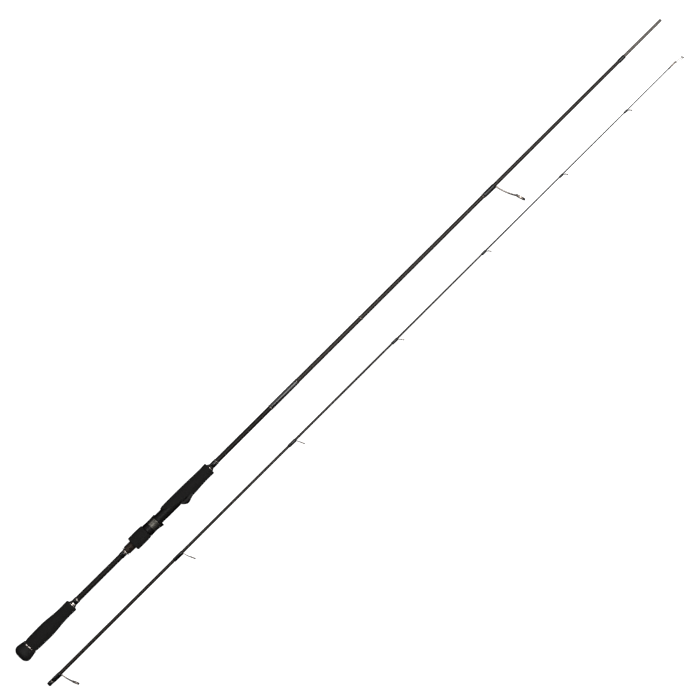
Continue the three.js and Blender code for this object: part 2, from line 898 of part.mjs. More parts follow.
function hoodShellGeometry() {
  const outer = solid(lofted(shellStations(hoodShellStart, hoodShellEnd, 0)));
  const inset = movingHood.shellThickness;
  const inner = solid(lofted(shellStations(hoodShellStart - overshoot, hoodShellEnd + overshoot, inset)));
  return geometryOf(outer.subtract(inner));
}

function movingHoodGeometry() {
  const h = movingHood;
  const step = 0.02; // length over which the recess for the shell steps down
  const recess = h.shellThickness + glueGap;
  const flareNear = seat.deck + h.footSpace + h.wall;
  const [rear, rearEdge, , , lipEdge, lipEnd] = hoodOutline();
  const outer = solid(
    lofted([
      rear,
      rearEdge,
      hoodStation(hoodShellStart - glueGap - step, 0),
      ...shellStations(hoodShellStart - glueGap, hoodShellEnd + glueGap, recess),
      hoodStation(hoodShellEnd + glueGap + step, 0),
      lipEdge,
      lipEnd,
    ]),
  );
  const collarHole = sleeveCutter(hoodStart - overshoot, hoodEnd + overshoot, nutBore);
  const collarSpace = sleeveCutter(hoodStart - overshoot, collarEnd + runningGap, collarRadius + runningGap);
  const ringSpace = sleeveCutter(
    ringStart - runningGap,
    ringStart + lockNut.ringWidth + runningGap,
    springRadius + runningGap,
  );
  const seatSpace = seatCore(runningGap, collarEnd + 1.4, hoodEnd + overshoot);
  const mouth = { far: 0.5, side: h.pocketHalfWidth, near: flareNear - h.wall };
  const pocket = solid(
    lofted([
      { x: hoodEnd - h.flareLength - 2, ...mouth, near: seat.deck + runningGap + 0.2 },
      { x: hoodEnd - 1, ...mouth },
      { x: hoodEnd + overshoot, ...mouth },
    ]),
  );
  const shape = outer
    .subtract(collarHole)
    .subtract(collarSpace)
    .subtract(ringSpace)
    .subtract(seatSpace)
    .subtract(pocket);
  return geometryOf(shape);
}

// ---------------------------------------------------------------- tip top

function tipTopGuide() {
  const { hoop, ring, ringWidth } = { ...runnerSizes, hoop: 0.45 };
  return {
    x: tipBlank.length,
    advance: tipTop.reach,
    height: tipTop.drop,
    lean: tipTop.lean,
    outerRadius: tipTop.outerRadius,
    hoop,
    ring: ring * 0.85,
    ringWidth,
  };
}

function tipTopFrameGeometry() {
  const guide = tipTopGuide();
  const { outward, centre } = guideAxes(guide);
  const bore = tipRadius(tipBlank.length - tipTop.tubeLength) + glueGap;
  const outer = bore + tipTop.tubeWall;
  const tubeStart = tipBlank.length - tipTop.tubeLength;
  const tubeEnd = tipBlank.length + 1.5;
  const tube = solid(
    turned(
      [
        [tubeStart, bore],
        [tubeStart, outer],
        [tubeEnd - 0.6, outer],
        [tubeEnd, outer - 0.5],
        [tubeEnd, 0],
        [tipBlank.length + glueGap, 0],
        [tipBlank.length + glueGap, bore],
      ],
      blankSides,
    ),
  );
  const wire = 0.7;
  const hoopRadius = guide.outerRadius - guide.hoop / 2;
  const legs = [-1, 1].map((flank) => {
    const start = new THREE.Vector3(tubeEnd - 2, 0, flank * (outer - 0.15));
    const end = centre.clone().add(new THREE.Vector3(0, 0, flank * hoopRadius));
    const bend = new THREE.Vector3((start.x + end.x) / 2, start.y * 0.5, flank * hoopRadius);
    return solid(wireAlong(new THREE.QuadraticBezierCurve3(start, bend, end), wire, 3));
  });
  const brace = solid(
    wireAlong(
      new THREE.QuadraticBezierCurve3(
        new THREE.Vector3(tubeEnd - 2, -(outer - 0.15), 0),
        new THREE.Vector3((tubeEnd + centre.x) / 2, -guide.height * 1.4, 0),
        centre.clone().addScaledVector(outward, hoopRadius),
      ),
      wire,
      3,
    ),
  );
  const hoop = solid(placedRing(hoopGeometry(guide, 16), guide));
  const seatRadius = guide.outerRadius - guide.hoop;
  const opening = solid(
    placedRing(
      turned(
        [
          [-guide.outerRadius, 0],
          [-guide.outerRadius, seatRadius],
          [guide.outerRadius, seatRadius],
          [guide.outerRadius, 0],
        ],
        16,
      ),
      guide,
    ),
  );
  return geometryOf(tube.add(hoop).add(legs[0]).add(legs[1]).add(brace).subtract(opening));
}

// ---------------------------------------------------------------- assembly

function named(name, geometry, material) {
  const mesh = new THREE.Mesh(geometry, material());
  mesh.name = name;
  return mesh;
}

function buttSection() {
  const group = new THREE.Group();
  const trimmed = (name, end, length, trim) => {
    const start = end - length;
    group.add(named(name, band(start, end - trim - glueGap, buttRadius, thread), coatedThread));
    group.add(named(name + "_trim", band(end - trim, end, buttRadius, thread + trimRise), metallicThread));
  };
  group.add(named("butt_cap", buttCapGeometry(), capRubber));
  group.add(named("butt_cap_ring", capRingGeometry(), polishedMetal));
  group.add(named("rear_grip", rearGripGeometry(), foam));
  group.add(named("butt_blank", buttBlankGeometry(), carbon));
  group.add(named("rear_grip_winding_check", windingCheck(rearGripEnd, rearGripCheck), polishedMetal));
  trimmed("rear_grip_wrap", rearWrapEnd, rearGripWrap.length, rearGripWrap.trim);
  trimmed("seat_rear_wrap", seatWrapEnd - glueGap, seatWrap.length - glueGap, seatWrap.trim);
  group.add(named("seat_rear_winding_check", windingCheck(seatWrapEnd, seatCheck), polishedMetal));
  group.add(named("reel_seat_body", reelSeatGeometry(), seatPlastic));
  group.add(named("seat_arbor_rear", arborGeometry(seatStart + 1, seatStart + 1 + seat.arborLength), arborFoam));
  group.add(named("seat_arbor_front", arborGeometry(seatEnd - 1 - seat.arborLength, seatEnd - 1), arborFoam));
  group.add(named("foregrip", foregripGeometry(), foam));
  group.add(named("foregrip_winding_check", windingCheck(foregripEnd, foregripCheck), polishedMetal));
  const frontWrapEnd = foregripCheckEnd + foregripWrap.length;
  trimmed("foregrip_wrap", frontWrapEnd, foregripWrap.length, foregripWrap.trim);
  const labelEnd = label.at + label.length;
  const rearTrim = band(label.at, label.at + label.trim, buttRadius, thread);
  group.add(named("label_rear_trim", rearTrim, metallicThread));
  const coatStart = label.at + label.trim + glueGap;
  const coatEnd = labelEnd - label.trim - glueGap;
  group.add(named("label_coat", band(coatStart, coatEnd, buttRadius, label.coat), coatedThread));
  const frontTrim = band(labelEnd - label.trim, labelEnd, buttRadius, thread);
  group.add(named("label_front_trim", frontTrim, metallicThread));
  const single = band(midBand.at, midBand.at + midBand.length, buttRadius, thread);
  group.add(named("blank_trim_band", single, metallicThread));
  const guide = { ...stripper, x: stripperAt };
  group.add(named("stripper_guide_wrap", guideWrapGeometry(guide, buttRadius), coatedThread));
  const trimEnd = stripperAt - stripper.wrap - glueGap;
  const stripperTrim = band(trimEnd - stripper.trim, trimEnd, buttRadius, thread + trimRise);
  group.add(named("stripper_guide_wrap_trim", stripperTrim, metallicThread));
  group.add(...guideMeshes(guide, buttRadius, 24));
  const ferruleWrap = band(ferruleStart - ferruleWrapLength, ferruleStart - glueGap, buttRadius, thread);
  group.add(named("ferrule_wrap", ferruleWrap, coatedThread));
  group.add(hoodAndNut());
  return group;
}

function hoodAndNut() {
  const group = new THREE.Group();
  group.add(named("moving_hood", movingHoodGeometry(), seatPlastic));
  group.add(named("moving_hood_shell", hoodShellGeometry(), gunmetal));
  group.add(named("lock_nut", lockNutGeometry(), seatPlastic));
  group.add(named("lock_nut_grip", nutGripGeometry(), foam));
  group.add(named("hood_retaining_ring", retainingRingGeometry(), springSteel));
  return group;
}

function tipSection() {
  const group = new THREE.Group();
  group.add(named("tip_blank", tipBlankGeometry(), carbon));
  const first = { ...guideOne, x: guideOne.fromBase };
  const trimEnd = first.x - first.wrap - glueGap;
  const trimStart = trimEnd - first.trim;
  const baseTrim = band(trimStart, trimEnd, tipRadius, thread + trimRise);
  group.add(named("tip_base_wrap", band(tipBaseWrapStart, trimStart - glueGap, tipRadius, thread), coatedThread));
  group.add(named("tip_base_wrap_trim", baseTrim, metallicThread));
  group.add(named("guide_1_wrap", guideWrapGeometry(first, tipRadius), coatedThread));
  group.add(...guideMeshes(first, tipRadius, 20));
  runners.forEach((runner, i) => {
    const guide = { ...runnerSizes, ...runner, name: "guide_" + (i + 2), x: tipTopAt - runner.fromTip };
    group.add(named(guide.name + "_wrap", guideWrapGeometry(guide, tipRadius), coatedThread));
    group.add(...guideMeshes(guide, tipRadius, 16));
  });
  const tubeStart = tipBlank.length - tipTop.tubeLength;
  const tipWrap = band(tubeStart - tipTop.wrap, tubeStart - glueGap, tipRadius, thread * 0.7);
  group.add(named("tip_top_wrap", tipWrap, coatedThread));
  group.add(named("tip_top_frame", tipTopFrameGeometry(), steelFrame));
  group.add(named("tip_top_ring", placedRing(ringGeometry(tipTopGuide(), 16), tipTopGuide()), ceramic));
  return group;
}

// Each section lies on its widest piece near the butt and on a ring further up: the angle between the two.
function restingTilt(rearHeight, rearAt, frontHeight, frontAt) {
  return Math.asin((rearHeight - frontHeight) / (frontAt - rearAt));
}

const butt = buttSection();
const stripperRingAt = stripperAt + stripper.advance;
butt.rotation.y = restingTilt(buttCap.radius, buttCap.widestAt, stripper.outerRadius, stripperRingAt);
butt.position.z = buttCap.radius;

const tip = tipSection();
const firstRingAt = guideOne.fromBase + guideOne.advance;
tip.rotation.y = restingTilt(guideOne.outerRadius, firstRingAt, tipTop.outerRadius, tipTopAt);
tip.position.y = -sectionSpacing;
tip.position.z = guideOne.outerRadius + Math.sin(tip.rotation.y) * firstRingAt;

// The origin is on the surface, under the middle of the space that the rod takes up.
const rod = new THREE.Group();
rod.add(butt, tip);
rod.updateMatrixWorld(true);
const extent = new THREE.Box3().setFromObject(rod, true);
const middle = extent.getCenter(new THREE.Vector3());
rod.position.set(-middle.x, -middle.y, -extent.min.z);

export default rod;
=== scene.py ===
"""Two-piece spinning rod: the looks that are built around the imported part.

Sizes are millimetres in a section's own space: X along the rod from its butt end, guides towards -Y, +Z up.
"""

import logging
import math
from collections.abc import Callable, Sequence
from dataclasses import dataclass, field
from enum import Enum

import bmesh
import bpy
from mathutils import Matrix, Vector


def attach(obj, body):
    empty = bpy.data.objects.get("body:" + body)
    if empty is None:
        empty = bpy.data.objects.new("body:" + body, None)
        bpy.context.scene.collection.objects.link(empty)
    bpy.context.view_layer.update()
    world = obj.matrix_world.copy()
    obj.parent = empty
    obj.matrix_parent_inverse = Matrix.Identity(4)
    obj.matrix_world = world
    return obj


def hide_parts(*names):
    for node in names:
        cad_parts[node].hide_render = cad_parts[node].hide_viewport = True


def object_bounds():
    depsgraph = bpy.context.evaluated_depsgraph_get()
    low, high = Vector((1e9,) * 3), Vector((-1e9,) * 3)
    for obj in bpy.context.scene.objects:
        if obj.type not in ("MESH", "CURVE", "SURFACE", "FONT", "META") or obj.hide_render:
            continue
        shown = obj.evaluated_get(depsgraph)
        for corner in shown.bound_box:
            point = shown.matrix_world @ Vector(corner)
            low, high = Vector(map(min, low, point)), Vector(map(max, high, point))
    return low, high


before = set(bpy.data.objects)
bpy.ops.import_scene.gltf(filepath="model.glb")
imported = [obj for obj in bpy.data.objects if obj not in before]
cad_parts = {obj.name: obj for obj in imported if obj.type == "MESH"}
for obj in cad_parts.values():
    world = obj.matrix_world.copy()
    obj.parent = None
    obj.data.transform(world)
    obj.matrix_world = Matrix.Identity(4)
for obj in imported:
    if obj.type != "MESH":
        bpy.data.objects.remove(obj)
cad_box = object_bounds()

log = logging.getLogger("spinning_rod")

Point = tuple[float, ...]
Radius = Callable[[float], float]
Sockets = dict[str | int, bpy.types.NodeSocket]

MILLIMETRE = 0.001
GAP = 0.1  # between pieces that are bonded or wrapped together
RUNNING_GAP = 0.3  # between pieces that move past each other
TRIM_THICKNESS = 0.53  # of a metallic trim beside a wrap, which stands a little above it
FULL_TURN = 2 * math.pi


# ---------------------------------------------------------------- finishes


def linear(code: str) -> tuple[float, float, float, float]:
    """Turns an sRGB hex value to linear light.

    Args:
        code: six hex digits, with or without a leading #.

    Returns:
        Red, green and blue in linear light, and an alpha of 1.
    """
    digits = code.lstrip("#")
    shares = [int(digits[i : i + 2], 16) / 255 for i in (0, 2, 4)]
    red, green, blue = [s / 12.92 if s <= 0.04045 else ((s + 0.055) / 1.055) ** 2.4 for s in shares]
    return red, green, blue, 1.0


def per_metre(millimetres: float) -> float:
    """Gives the scale of a pattern on Object coordinates whose features are this large."""
    return 1 / (millimetres * MILLIMETRE)


def add(
    tree: bpy.types.NodeTree,
    kind: str,
    links: Sockets | None = None,
    values: dict[str | int, object] | None = None,
    **settings: object,
) -> bpy.types.Node:
    """Adds a node with its settings and links.

    Args:
        tree: the material's node tree.
        kind: the node's type, without its ShaderNode prefix.
        links: input name or number to the socket that feeds it.
        values: input name or number to the value it holds.
        settings: the node's own properties.

    Returns:
        The new node.
    """
    node = tree.nodes.new("ShaderNode" + kind)
    for name, value in settings.items():
        setattr(node, name, value)
    for name, value in (values or {}).items():
        node.inputs[name].default_value = value
    for name, socket in (links or {}).items():
        tree.links.new(socket, node.inputs[name])
    return node


class Space(Enum):
    """What a pattern is laid on."""

    OBJECT = "Object"  # the row frame, in metres
    WOUND = "UV"  # turns round the rod across, millimetres along it up


@dataclass(frozen=True)
class Finish:
    """A real material and how its surface was made: the even ones use this class as it is."""

    name: str
    base: str
    roughness: float
    metallic: float = 0.0
    ior: float = 1.5
    coat: float = 0.0
    coat_roughness: float = 0.04
    sheen: float = 0.0

    def pattern(self, tree: bpy.types.NodeTree) -> Sockets:
        """Lays the surface's detail.

        Args:
            tree: the material's node tree.

        Returns:
            Shader input name to the socket that drives it.
        """
        return {}

    def material(self) -> bpy.types.Material:
        """Makes the material, or gives back the one that was made before."""
        found = bpy.data.materials.get(self.name)
        if found:
            return found
        made = bpy.data.materials.new(self.name)
        made.use_nodes = True
        tree = made.node_tree
        shader = tree.nodes["Principled BSDF"]
        constants = {
            "Base Color": linear(self.base),
            "Roughness": self.roughness,
            "Metallic": self.metallic,
            "Coat Weight": self.coat,
            "Coat Roughness": self.coat_roughness,
            "Sheen Weight": self.sheen,
        }
        if not self.metallic:
            constants["IOR"] = self.ior
        for name, value in constants.items():
            shader.inputs[name].default_value = value
        for name, socket in self.pattern(tree).items():
            tree.links.new(socket, shader.inputs[name])
        return made

    def coordinates(self, tree: bpy.types.NodeTree, space: Space) -> bpy.types.NodeSocket:
        """Gives the coordinates of the space that a pattern is laid on."""
        return add(tree, "TexCoord").outputs[space.value]

    def bump(
        self, tree: bpy.types.NodeTree, height: bpy.types.NodeSocket, depth: float, strength: float,
    ) -> bpy.types.NodeSocket:
        """Turns a height into a normal.

        Args:
            tree: the material's node tree.
            height: the height, from 0 to 1.
            depth: how deep the pattern is, in millimetres.
            strength: how much of it shows.

        Returns:
            The normal socket.
        """
        values = {"Strength": strength, "Distance": depth * MILLIMETRE}
        return add(tree, "Bump", {"Height": height}, values).outputs["Normal"]

    def shades(
        self, tree: bpy.types.NodeTree, share: bpy.types.NodeSocket, low: str, high: str,
    ) -> bpy.types.NodeSocket:
        """Runs from one colour to another as a share goes from 0 to 1."""
        mix = add(tree, "Mix", {"Factor": share}, data_type="RGBA")
        mix.inputs[6].default_value = linear(low)
        mix.inputs[7].default_value = linear(high)
        return mix.outputs[2]


@dataclass(frozen=True)
class FoamFinish(Finish):
    """EVA foam ground to shape: a dull black skin of cut cells that scatters the little light it returns."""

    cell: float = 0.5
    light: str = "2A2927"

    def pattern(self, tree: bpy.types.NodeTree) -> Sockets:
        """Cut cells with a slow variation of tone between them."""
        place = self.coordinates(tree, Space.OBJECT)
        cells = add(tree, "TexVoronoi", {"Vector": place}, {"Scale": per_metre(self.cell)})
        clouds = add(tree, "TexNoise", {"Vector": place}, {"Scale": per_metre(6.0), "Detail": 5.0})
        grit = add(tree, "TexNoise", {"Vector": place}, {"Scale": per_metre(0.25), "Detail": 2.0})
        height = add(tree, "Math", {0: cells.outputs["Distance"], 1: grit.outputs["Fac"]}, operation="ADD")
        return {
            "Base Color": self.shades(tree, clouds.outputs["Fac"], self.base, self.light),
            "Normal": self.bump(tree, height.outputs[0], 0.12, 0.5),
        }


@dataclass(frozen=True)
class MouldedFinish(Finish):
    """Plastic or rubber from a mould: an even colour, with the faint grain of the mould in its shine."""

    grain: float = 0.6
    depth: float = 0.02
    light: str = "1C1B1B"

    def pattern(self, tree: bpy.types.NodeTree) -> Sockets:
        """Fine grain over a broad unevenness of the shine."""
        place = self.coordinates(tree, Space.OBJECT)
        grain = add(tree, "TexNoise", {"Vector": place}, {"Scale": per_metre(self.grain), "Detail": 3.0})
        broad = add(tree, "TexNoise", {"Vector": place}, {"Scale": per_metre(9.0), "Detail": 2.0})
        low, high = self.roughness * 0.85, min(1.0, self.roughness * 1.2)
        shine = add(tree, "MapRange", {"Value": broad.outputs["Fac"]}, {"To Min": low, "To Max": high})
        return {
            "Base Color": self.shades(tree, broad.outputs["Fac"], self.base, self.light),
            "Roughness": shine.outputs["Result"],
            "Normal": self.bump(tree, grain.outputs["Fac"], self.depth, 0.5),
        }


@dataclass(frozen=True)
class WoundFinish(Finish):
    """Thread wound tight round the rod: each turn is a fine rib, with painted shade in its colour where it
    meets the next.
    """

    pitch: float = 0.25
    depth: float = 0.06
    # groove is the colour of painted shade laid in the roots between turns, where the ribs would shade one
    # another
    groove: str = "050505"

    def pattern(self, tree: bpy.types.NodeTree) -> Sockets:
        """Ribs along the helix that the thread runs on, with painted shade laid in their roots."""
        place = self.coordinates(tree, Space.WOUND)
        turns = add(tree, "VectorMath", {0: place}, {1: (1.0, 1 / self.pitch, 0.0)}, operation="DOT_PRODUCT")
        angle = add(tree, "Math", {0: turns.outputs["Value"]}, {1: FULL_TURN}, operation="MULTIPLY")
        wave = add(tree, "Math", {0: angle.outputs[0]}, operation="SINE")
        rib = add(tree, "MapRange", {"Value": wave.outputs[0]}, {"From Min": -1.0, "From Max": 0.6})
        return {
            # the colour runs from the painted shade of groove in the roots up to the base colour on the
            # crests
            "Base Color": self.shades(tree, rib.outputs["Result"], self.groove, self.base),
            "Normal": self.bump(tree, rib.outputs["Result"], self.depth, 0.6),
        }


@dataclass(frozen=True)
class CarbonFinish(Finish):
    """Carbon tube rolled from sheet and taped while it cured: fibres run along it under spiral tape lines."""

    tape: float = 2.4
    light: str = "625B54"
    depth: float = 0.03

    def pattern(self, tree: bpy.types.NodeTree) -> Sockets:
        """Spiral tape lines over fibres that run along the tube."""
        place = self.coordinates(tree, Space.WOUND)
        turns = add(tree, "VectorMath", {0: place}, {1: (1.0, 1 / self.tape, 0.0)}, operation="DOT_PRODUCT")
        line = add(tree, "Math", {0: turns.outputs["Value"]}, operation="FRACT")
        fibres = add(tree, "Mapping", {"Vector": place}, {"Scale": (1.0, 0.02, 1.0)})
        values = {"Scale": 40.0, "Detail": 4.0}
        strands = add(tree, "TexNoise", {"Vector": fibres.outputs["Vector"]}, values)
        both = add(
            tree, "Math", {0: line.outputs[0], 1: strands.outputs["Fac"]}, {2: 0.5},
            operation="MULTIPLY_ADD",
        )
        share = add(tree, "Math", {0: line.outputs[0], 1: strands.outputs["Fac"]}, operation="MULTIPLY")
        return {
            "Base Color": self.shades(tree, share.outputs[0], self.base, self.light),
            "Normal": self.bump(tree, both.outputs[0], self.depth, 0.45),
        }


@dataclass(frozen=True)
class MetalFinish(Finish):
    """Metal, worked by a tool whose marks run round it or lie without direction."""

    mark: float = 0.3
    stretch: Point = (1.0, 1.0, 1.0)
    depth: float = 0.01
    light: str = "E2DAD4"

    def pattern(self, tree: bpy.types.NodeTree) -> Sockets:
        """Fine marks that vary the shine."""
        place = self.coordinates(tree, Space.OBJECT)
        turned = add(tree, "Mapping", {"Vector": place}, {"Scale": self.stretch})
        marks = add(
            tree, "TexNoise", {"Vector": turned.outputs["Vector"]},
            {"Scale": per_metre(self.mark), "Detail": 4.0},
        )
        low, high = self.roughness * 0.75, min(1.0, self.roughness * 1.3)
        shine = add(tree, "MapRange", {"Value": marks.outputs["Fac"]}, {"To Min": low, "To Max": high})
        return {
            "Base Color": self.shades(tree, marks.outputs["Fac"], self.base, self.light),
            "Roughness": shine.outputs["Result"],
            "Normal": self.bump(tree, marks.outputs["Fac"], self.depth, 0.4),
        }


# Closed-cell EVA, ground and left bare: near black, dull, and a shade lighter where the cells are cut open.
EVA = FoamFinish("eva_foam_ground", "131211", 0.92, light="201F1D")
# Nitrile rubber from a textured mould: dull black with a soft sheen on its curve.
CAP_RUBBER = MouldedFinish("nitrile_rubber_moulded", "110F0E", 0.7, grain=0.4, depth=0.04, light="191715")
# Carbon tube, sanded and clear coated: a dark warm grey that shines in a line along its top.
CARBON = CarbonFinish(
    "carbon_tube_clear_coated", "2B2622", 0.42, metallic=0.6, coat=0.12, coat_roughness=0.2,
    light="443C35",
)
# The same carbon under dark lacquer, behind the label and at the solid tip: nearly black, with little shine.
LACQUERED = CarbonFinish("carbon_tube_dark_lacquer", "191512", 0.42, metallic=0.5, light="2A2420")
# The same tube ground for the ferrule and left uncoated: satin and lighter, as bare ground carbon is.
GROUND_CARBON = CarbonFinish("carbon_tube_ground", "6A635D", 0.42, tape=0.6, light="A79D94", depth=0.015)
# Nylon thread under levelled epoxy: black ribs that are only guessed at below a wet-looking coat, with a
# faint painted shade in the roots between them.
WRAP = WoundFinish("nylon_thread_epoxy_coated", "080707", 0.5, ior=1.2, coat=1.0, coat_roughness=0.03)
# Metallised thread wound as a trim: a bright ribbed band, with painted shade (its groove colour) in the roots
# between its turns.
TRIM = WoundFinish("metallised_thread_wound", "D6CCC4", 0.25, metallic=0.9, coat=0.6, groove="7A7067")
# Smoked lacquer over the label's stretch of tube: darker and glossier than the bare tube.
LABEL = CarbonFinish(
    "carbon_tube_smoked_lacquer", "100F0E", 0.2, coat=1.0, coat_roughness=0.03, light="1E1B1A",
    depth=0.01,
)
# Turned and anodised aluminium: a pale, faintly rosy ring with the tool's marks round it.
ANODISED = MetalFinish(
    "aluminium_turned_anodised", "D3C6BF", 0.2, metallic=1.0, mark=0.12, stretch=(1.0, 0.1, 0.1),
)
# Stainless sheet, stamped and tumbled bright: a soft mirror with no direction in it.
STAINLESS = MetalFinish("stainless_stamped_tumbled", "9C9087", 0.3, metallic=1.0, mark=0.5, light="B9ACA3")
# Silicon carbide, sintered and lapped: almost black, with the shine of glass.
CERAMIC = Finish("silicon_carbide_lapped", "2C2927", 0.1, ior=2.2)
# Glass-filled nylon from a polished mould: deep black with a clear gloss.
SEAT_NYLON = MouldedFinish(
    "glass_filled_nylon_gloss", "0B0A09", 0.42, ior=1.33, grain=0.9, depth=0.012, light="120F0E",
)
# Aluminium thread, bronze anodised: brown metal that catches light on each crest.
SEAT_THREAD = MetalFinish(
    "aluminium_thread_bronze", "3C332E", 0.4, metallic=0.7, mark=0.2, stretch=(1.0, 0.1, 0.1),
    light="54483F",
)
# Aluminium shell, blasted and anodised gunmetal: an even warm grey, satin.
GUNMETAL = MetalFinish("aluminium_blasted_gunmetal", "65635C", 0.38, metallic=1.0, mark=0.15, light="807D75")
# Spring steel as drawn: grey and even.
SPRING_STEEL = MetalFinish("spring_steel_drawn", "8E8C8A", 0.35, metallic=1.0, mark=0.2)
# Polyurethane arbor foam, sawn: dull and beige, with open cells.
ARBOR_FOAM = FoamFinish("polyurethane_foam_sawn", "7E776C", 0.95, cell=0.8, light="938B80")


# ---------------------------------------------------------------- moulds


def flowing(points: Sequence[Point], steps: int = 6) -> list[Point]:
    """Runs a smooth line through points.

    Args:
        points: the points, of any dimension.
        steps: how many steps lead from each point to the next.

    Returns:
        The points with the steps between them.
    """
    ends = [points[0], *points, points[-1]]
    line: list[Point] = []
    for a, b, c, d in zip(ends, ends[1:], ends[2:], ends[3:]):
        for step in range(steps):
            t = step / steps
            line.append(tuple(
                0.5 * (
                    2 * q + (r - p) * t + (2 * p - 5 * q + 4 * r - s) * t**2 + (3 * q - p - 3 * r + s) * t**3
                )
                for p, q, r, s in zip(a, b, c, d)
            ))
    return [*line, tuple(points[-1])]


def bent(start: Vector, bend: Vector, end: Vector, steps: int) -> list[Vector]:
    """Gives the path from start to end that is drawn towards bend."""
    shares = [i / steps for i in range(steps + 1)]
    return [start.lerp(bend, t).lerp(bend.lerp(end, t), t) for t in shares]


class Joining(Enum):
    """How one mould is combined with another."""

    CUT = "DIFFERENCE"
    ADD = "UNION"
    KEEP = "INTERSECT"


class Mould:
    """A mesh in a section's millimetres, and the operators that shape it."""

    def __init__(self) -> None:
        """Starts empty."""
        self.bm = bmesh.new()

    def tidy(self) -> "Mould":
        """Merges what coincides and turns every face outwards."""
        bmesh.ops.remove_doubles(self.bm, verts=self.bm.verts[:], dist=1e-4)
        bmesh.ops.recalc_face_normals(self.bm, faces=self.bm.faces[:])
        return self

    def turn(self, profile: Sequence[Point], sides: int = 64, loop: bool = False) -> "Mould":
        """Spins a profile about the X axis.

        Args:
            profile: (x, radius) points.
            sides: facets round the axis.
            loop: whether the last point joins the first.

        Returns:
            This mould.
        """
        verts = [self.bm.verts.new((x, 0.0, radius)) for x, radius in profile]
        pairs = list(zip(verts, verts[1:])) + ([(verts[-1], verts[0])] if loop else [])
        edges = [self.bm.edges.new(pair) for pair in pairs]
        bmesh.ops.spin(
            self.bm, geom=[*verts, *edges], cent=(0, 0, 0), axis=(1, 0, 0), dvec=(0, 0, 0),
            angle=FULL_TURN, steps=sides, use_merge=True,
        )
        return self.tidy()

    def rod(self, start: float, end: float, radius: float, sides: int) -> "Mould":
        """Makes a plain round rod on the X axis, which cuts a bore."""
        return self.turn([(start, 0), (start, radius), (end, radius), (end, 0)], sides)

    def thread(
        self, start: float, turns: int, pitch: float, root: float, crest: float, steps: int = 36,
    ) -> "Mould":
        """Winds the ridge of a screw thread, sunk a little into its root.

        Args:
            start: where it begins.
            turns: how many turns it makes.
            pitch: how far it moves on in a turn.
            root: radius that it stands on.
            crest: radius of its top.
            steps: facets in a turn.

        Returns:
            This mould.
        """
        sunk, flank, flat = root - 0.2, pitch * 0.42, pitch * 0.1
        ridge = [(-flank, sunk), (-flat, crest), (flat, crest), (flank, sunk)]
        verts = [self.bm.verts.new((start + x, 0.0, radius)) for x, radius in ridge]
        first = bmesh.ops.contextual_create(self.bm, geom=verts)["faces"]
        bmesh.ops.spin(
            self.bm, geom=first, cent=(0, 0, 0), axis=(1, 0, 0), dvec=(pitch / steps, 0, 0),
            angle=FULL_TURN * turns, steps=steps * turns, use_merge=False,
        )
        return self.tidy()

    def reshape(self, stations: Sequence[Point]) -> "Mould":
        """Gives a body of radius 1 its sections: two half ellipses at each station.

        Args:
            stations: (x, reach towards +Y, reach towards -Y, half width) in the order of x.

        Returns:
            This mould.
        """
        for vert in self.bm.verts:
            x = vert.co.x
            after = next((i for i, s in enumerate(stations) if s[0] >= x - 1e-5), len(stations) - 1)
            a, b = stations[max(after - 1, 0)], stations[after]
            share = 0.0 if b[0] == a[0] else min(1.0, max(0.0, (x - a[0]) / (b[0] - a[0])))
            far, near, side = (a[i] + (b[i] - a[i]) * share for i in (1, 2, 3))
            vert.co.y *= far if vert.co.y > 0 else near
            vert.co.z *= side
        return self

    def loft(self, stations: Sequence[Point], sides: int = 72) -> "Mould":
        """Makes a closed body along X from its stations, as reshape() reads them."""
        first, last = stations[0][0], stations[-1][0]
        self.turn([(first, 0.0), *((s[0], 1.0) for s in stations), (last, 0.0)], sides)
        return self.reshape(stations)

    def plate(self, points: Sequence[Point], half: float) -> "Mould":
        """Extrudes an outline in the XY plane to both sides of it.

        Args:
            points: (x, y) points of the outline.
            half: half its thickness along Z.

        Returns:
            This mould.
        """
        verts = [self.bm.verts.new((x, y, -half)) for x, y in points]
        # The edges are drawn first, since loose points would be joined in an order of the operator's own.
        rim = [self.bm.edges.new(pair) for pair in zip(verts, verts[1:] + verts[:1])]
        filled = bmesh.ops.triangle_fill(self.bm, edges=rim, use_beauty=False, use_dissolve=False)["geom"]
        faces = [g for g in filled if isinstance(g, bmesh.types.BMFace)]
        grown = bmesh.ops.extrude_face_region(self.bm, geom=faces)["geom"]
        moved = [g for g in grown if isinstance(g, bmesh.types.BMVert)]
        bmesh.ops.translate(self.bm, verts=moved, vec=(0, 0, 2 * half))
        return self.tidy()

    def block(self, low: Point, high: Point) -> "Mould":
        """Adds a box between two corners."""
        size = Vector(high) - Vector(low)
        place = Matrix.Translation((Vector(high) + Vector(low)) / 2) @ Matrix.Diagonal((*size, 1.0))
        bmesh.ops.create_cube(self.bm, size=1.0, matrix=place)
        return self

    def pebble(self, centre: Point, radii: Point, lean: float = 0.0) -> "Mould":
        """Adds an ellipsoid, turned about Z by lean radians."""
        place = Matrix.Translation(centre) @ Matrix.Rotation(lean, 4, "Z") @ Matrix.Diagonal((*radii, 1.0))
        bmesh.ops.create_uvsphere(self.bm, u_segments=40, v_segments=24, radius=1.0, matrix=place)
        return self

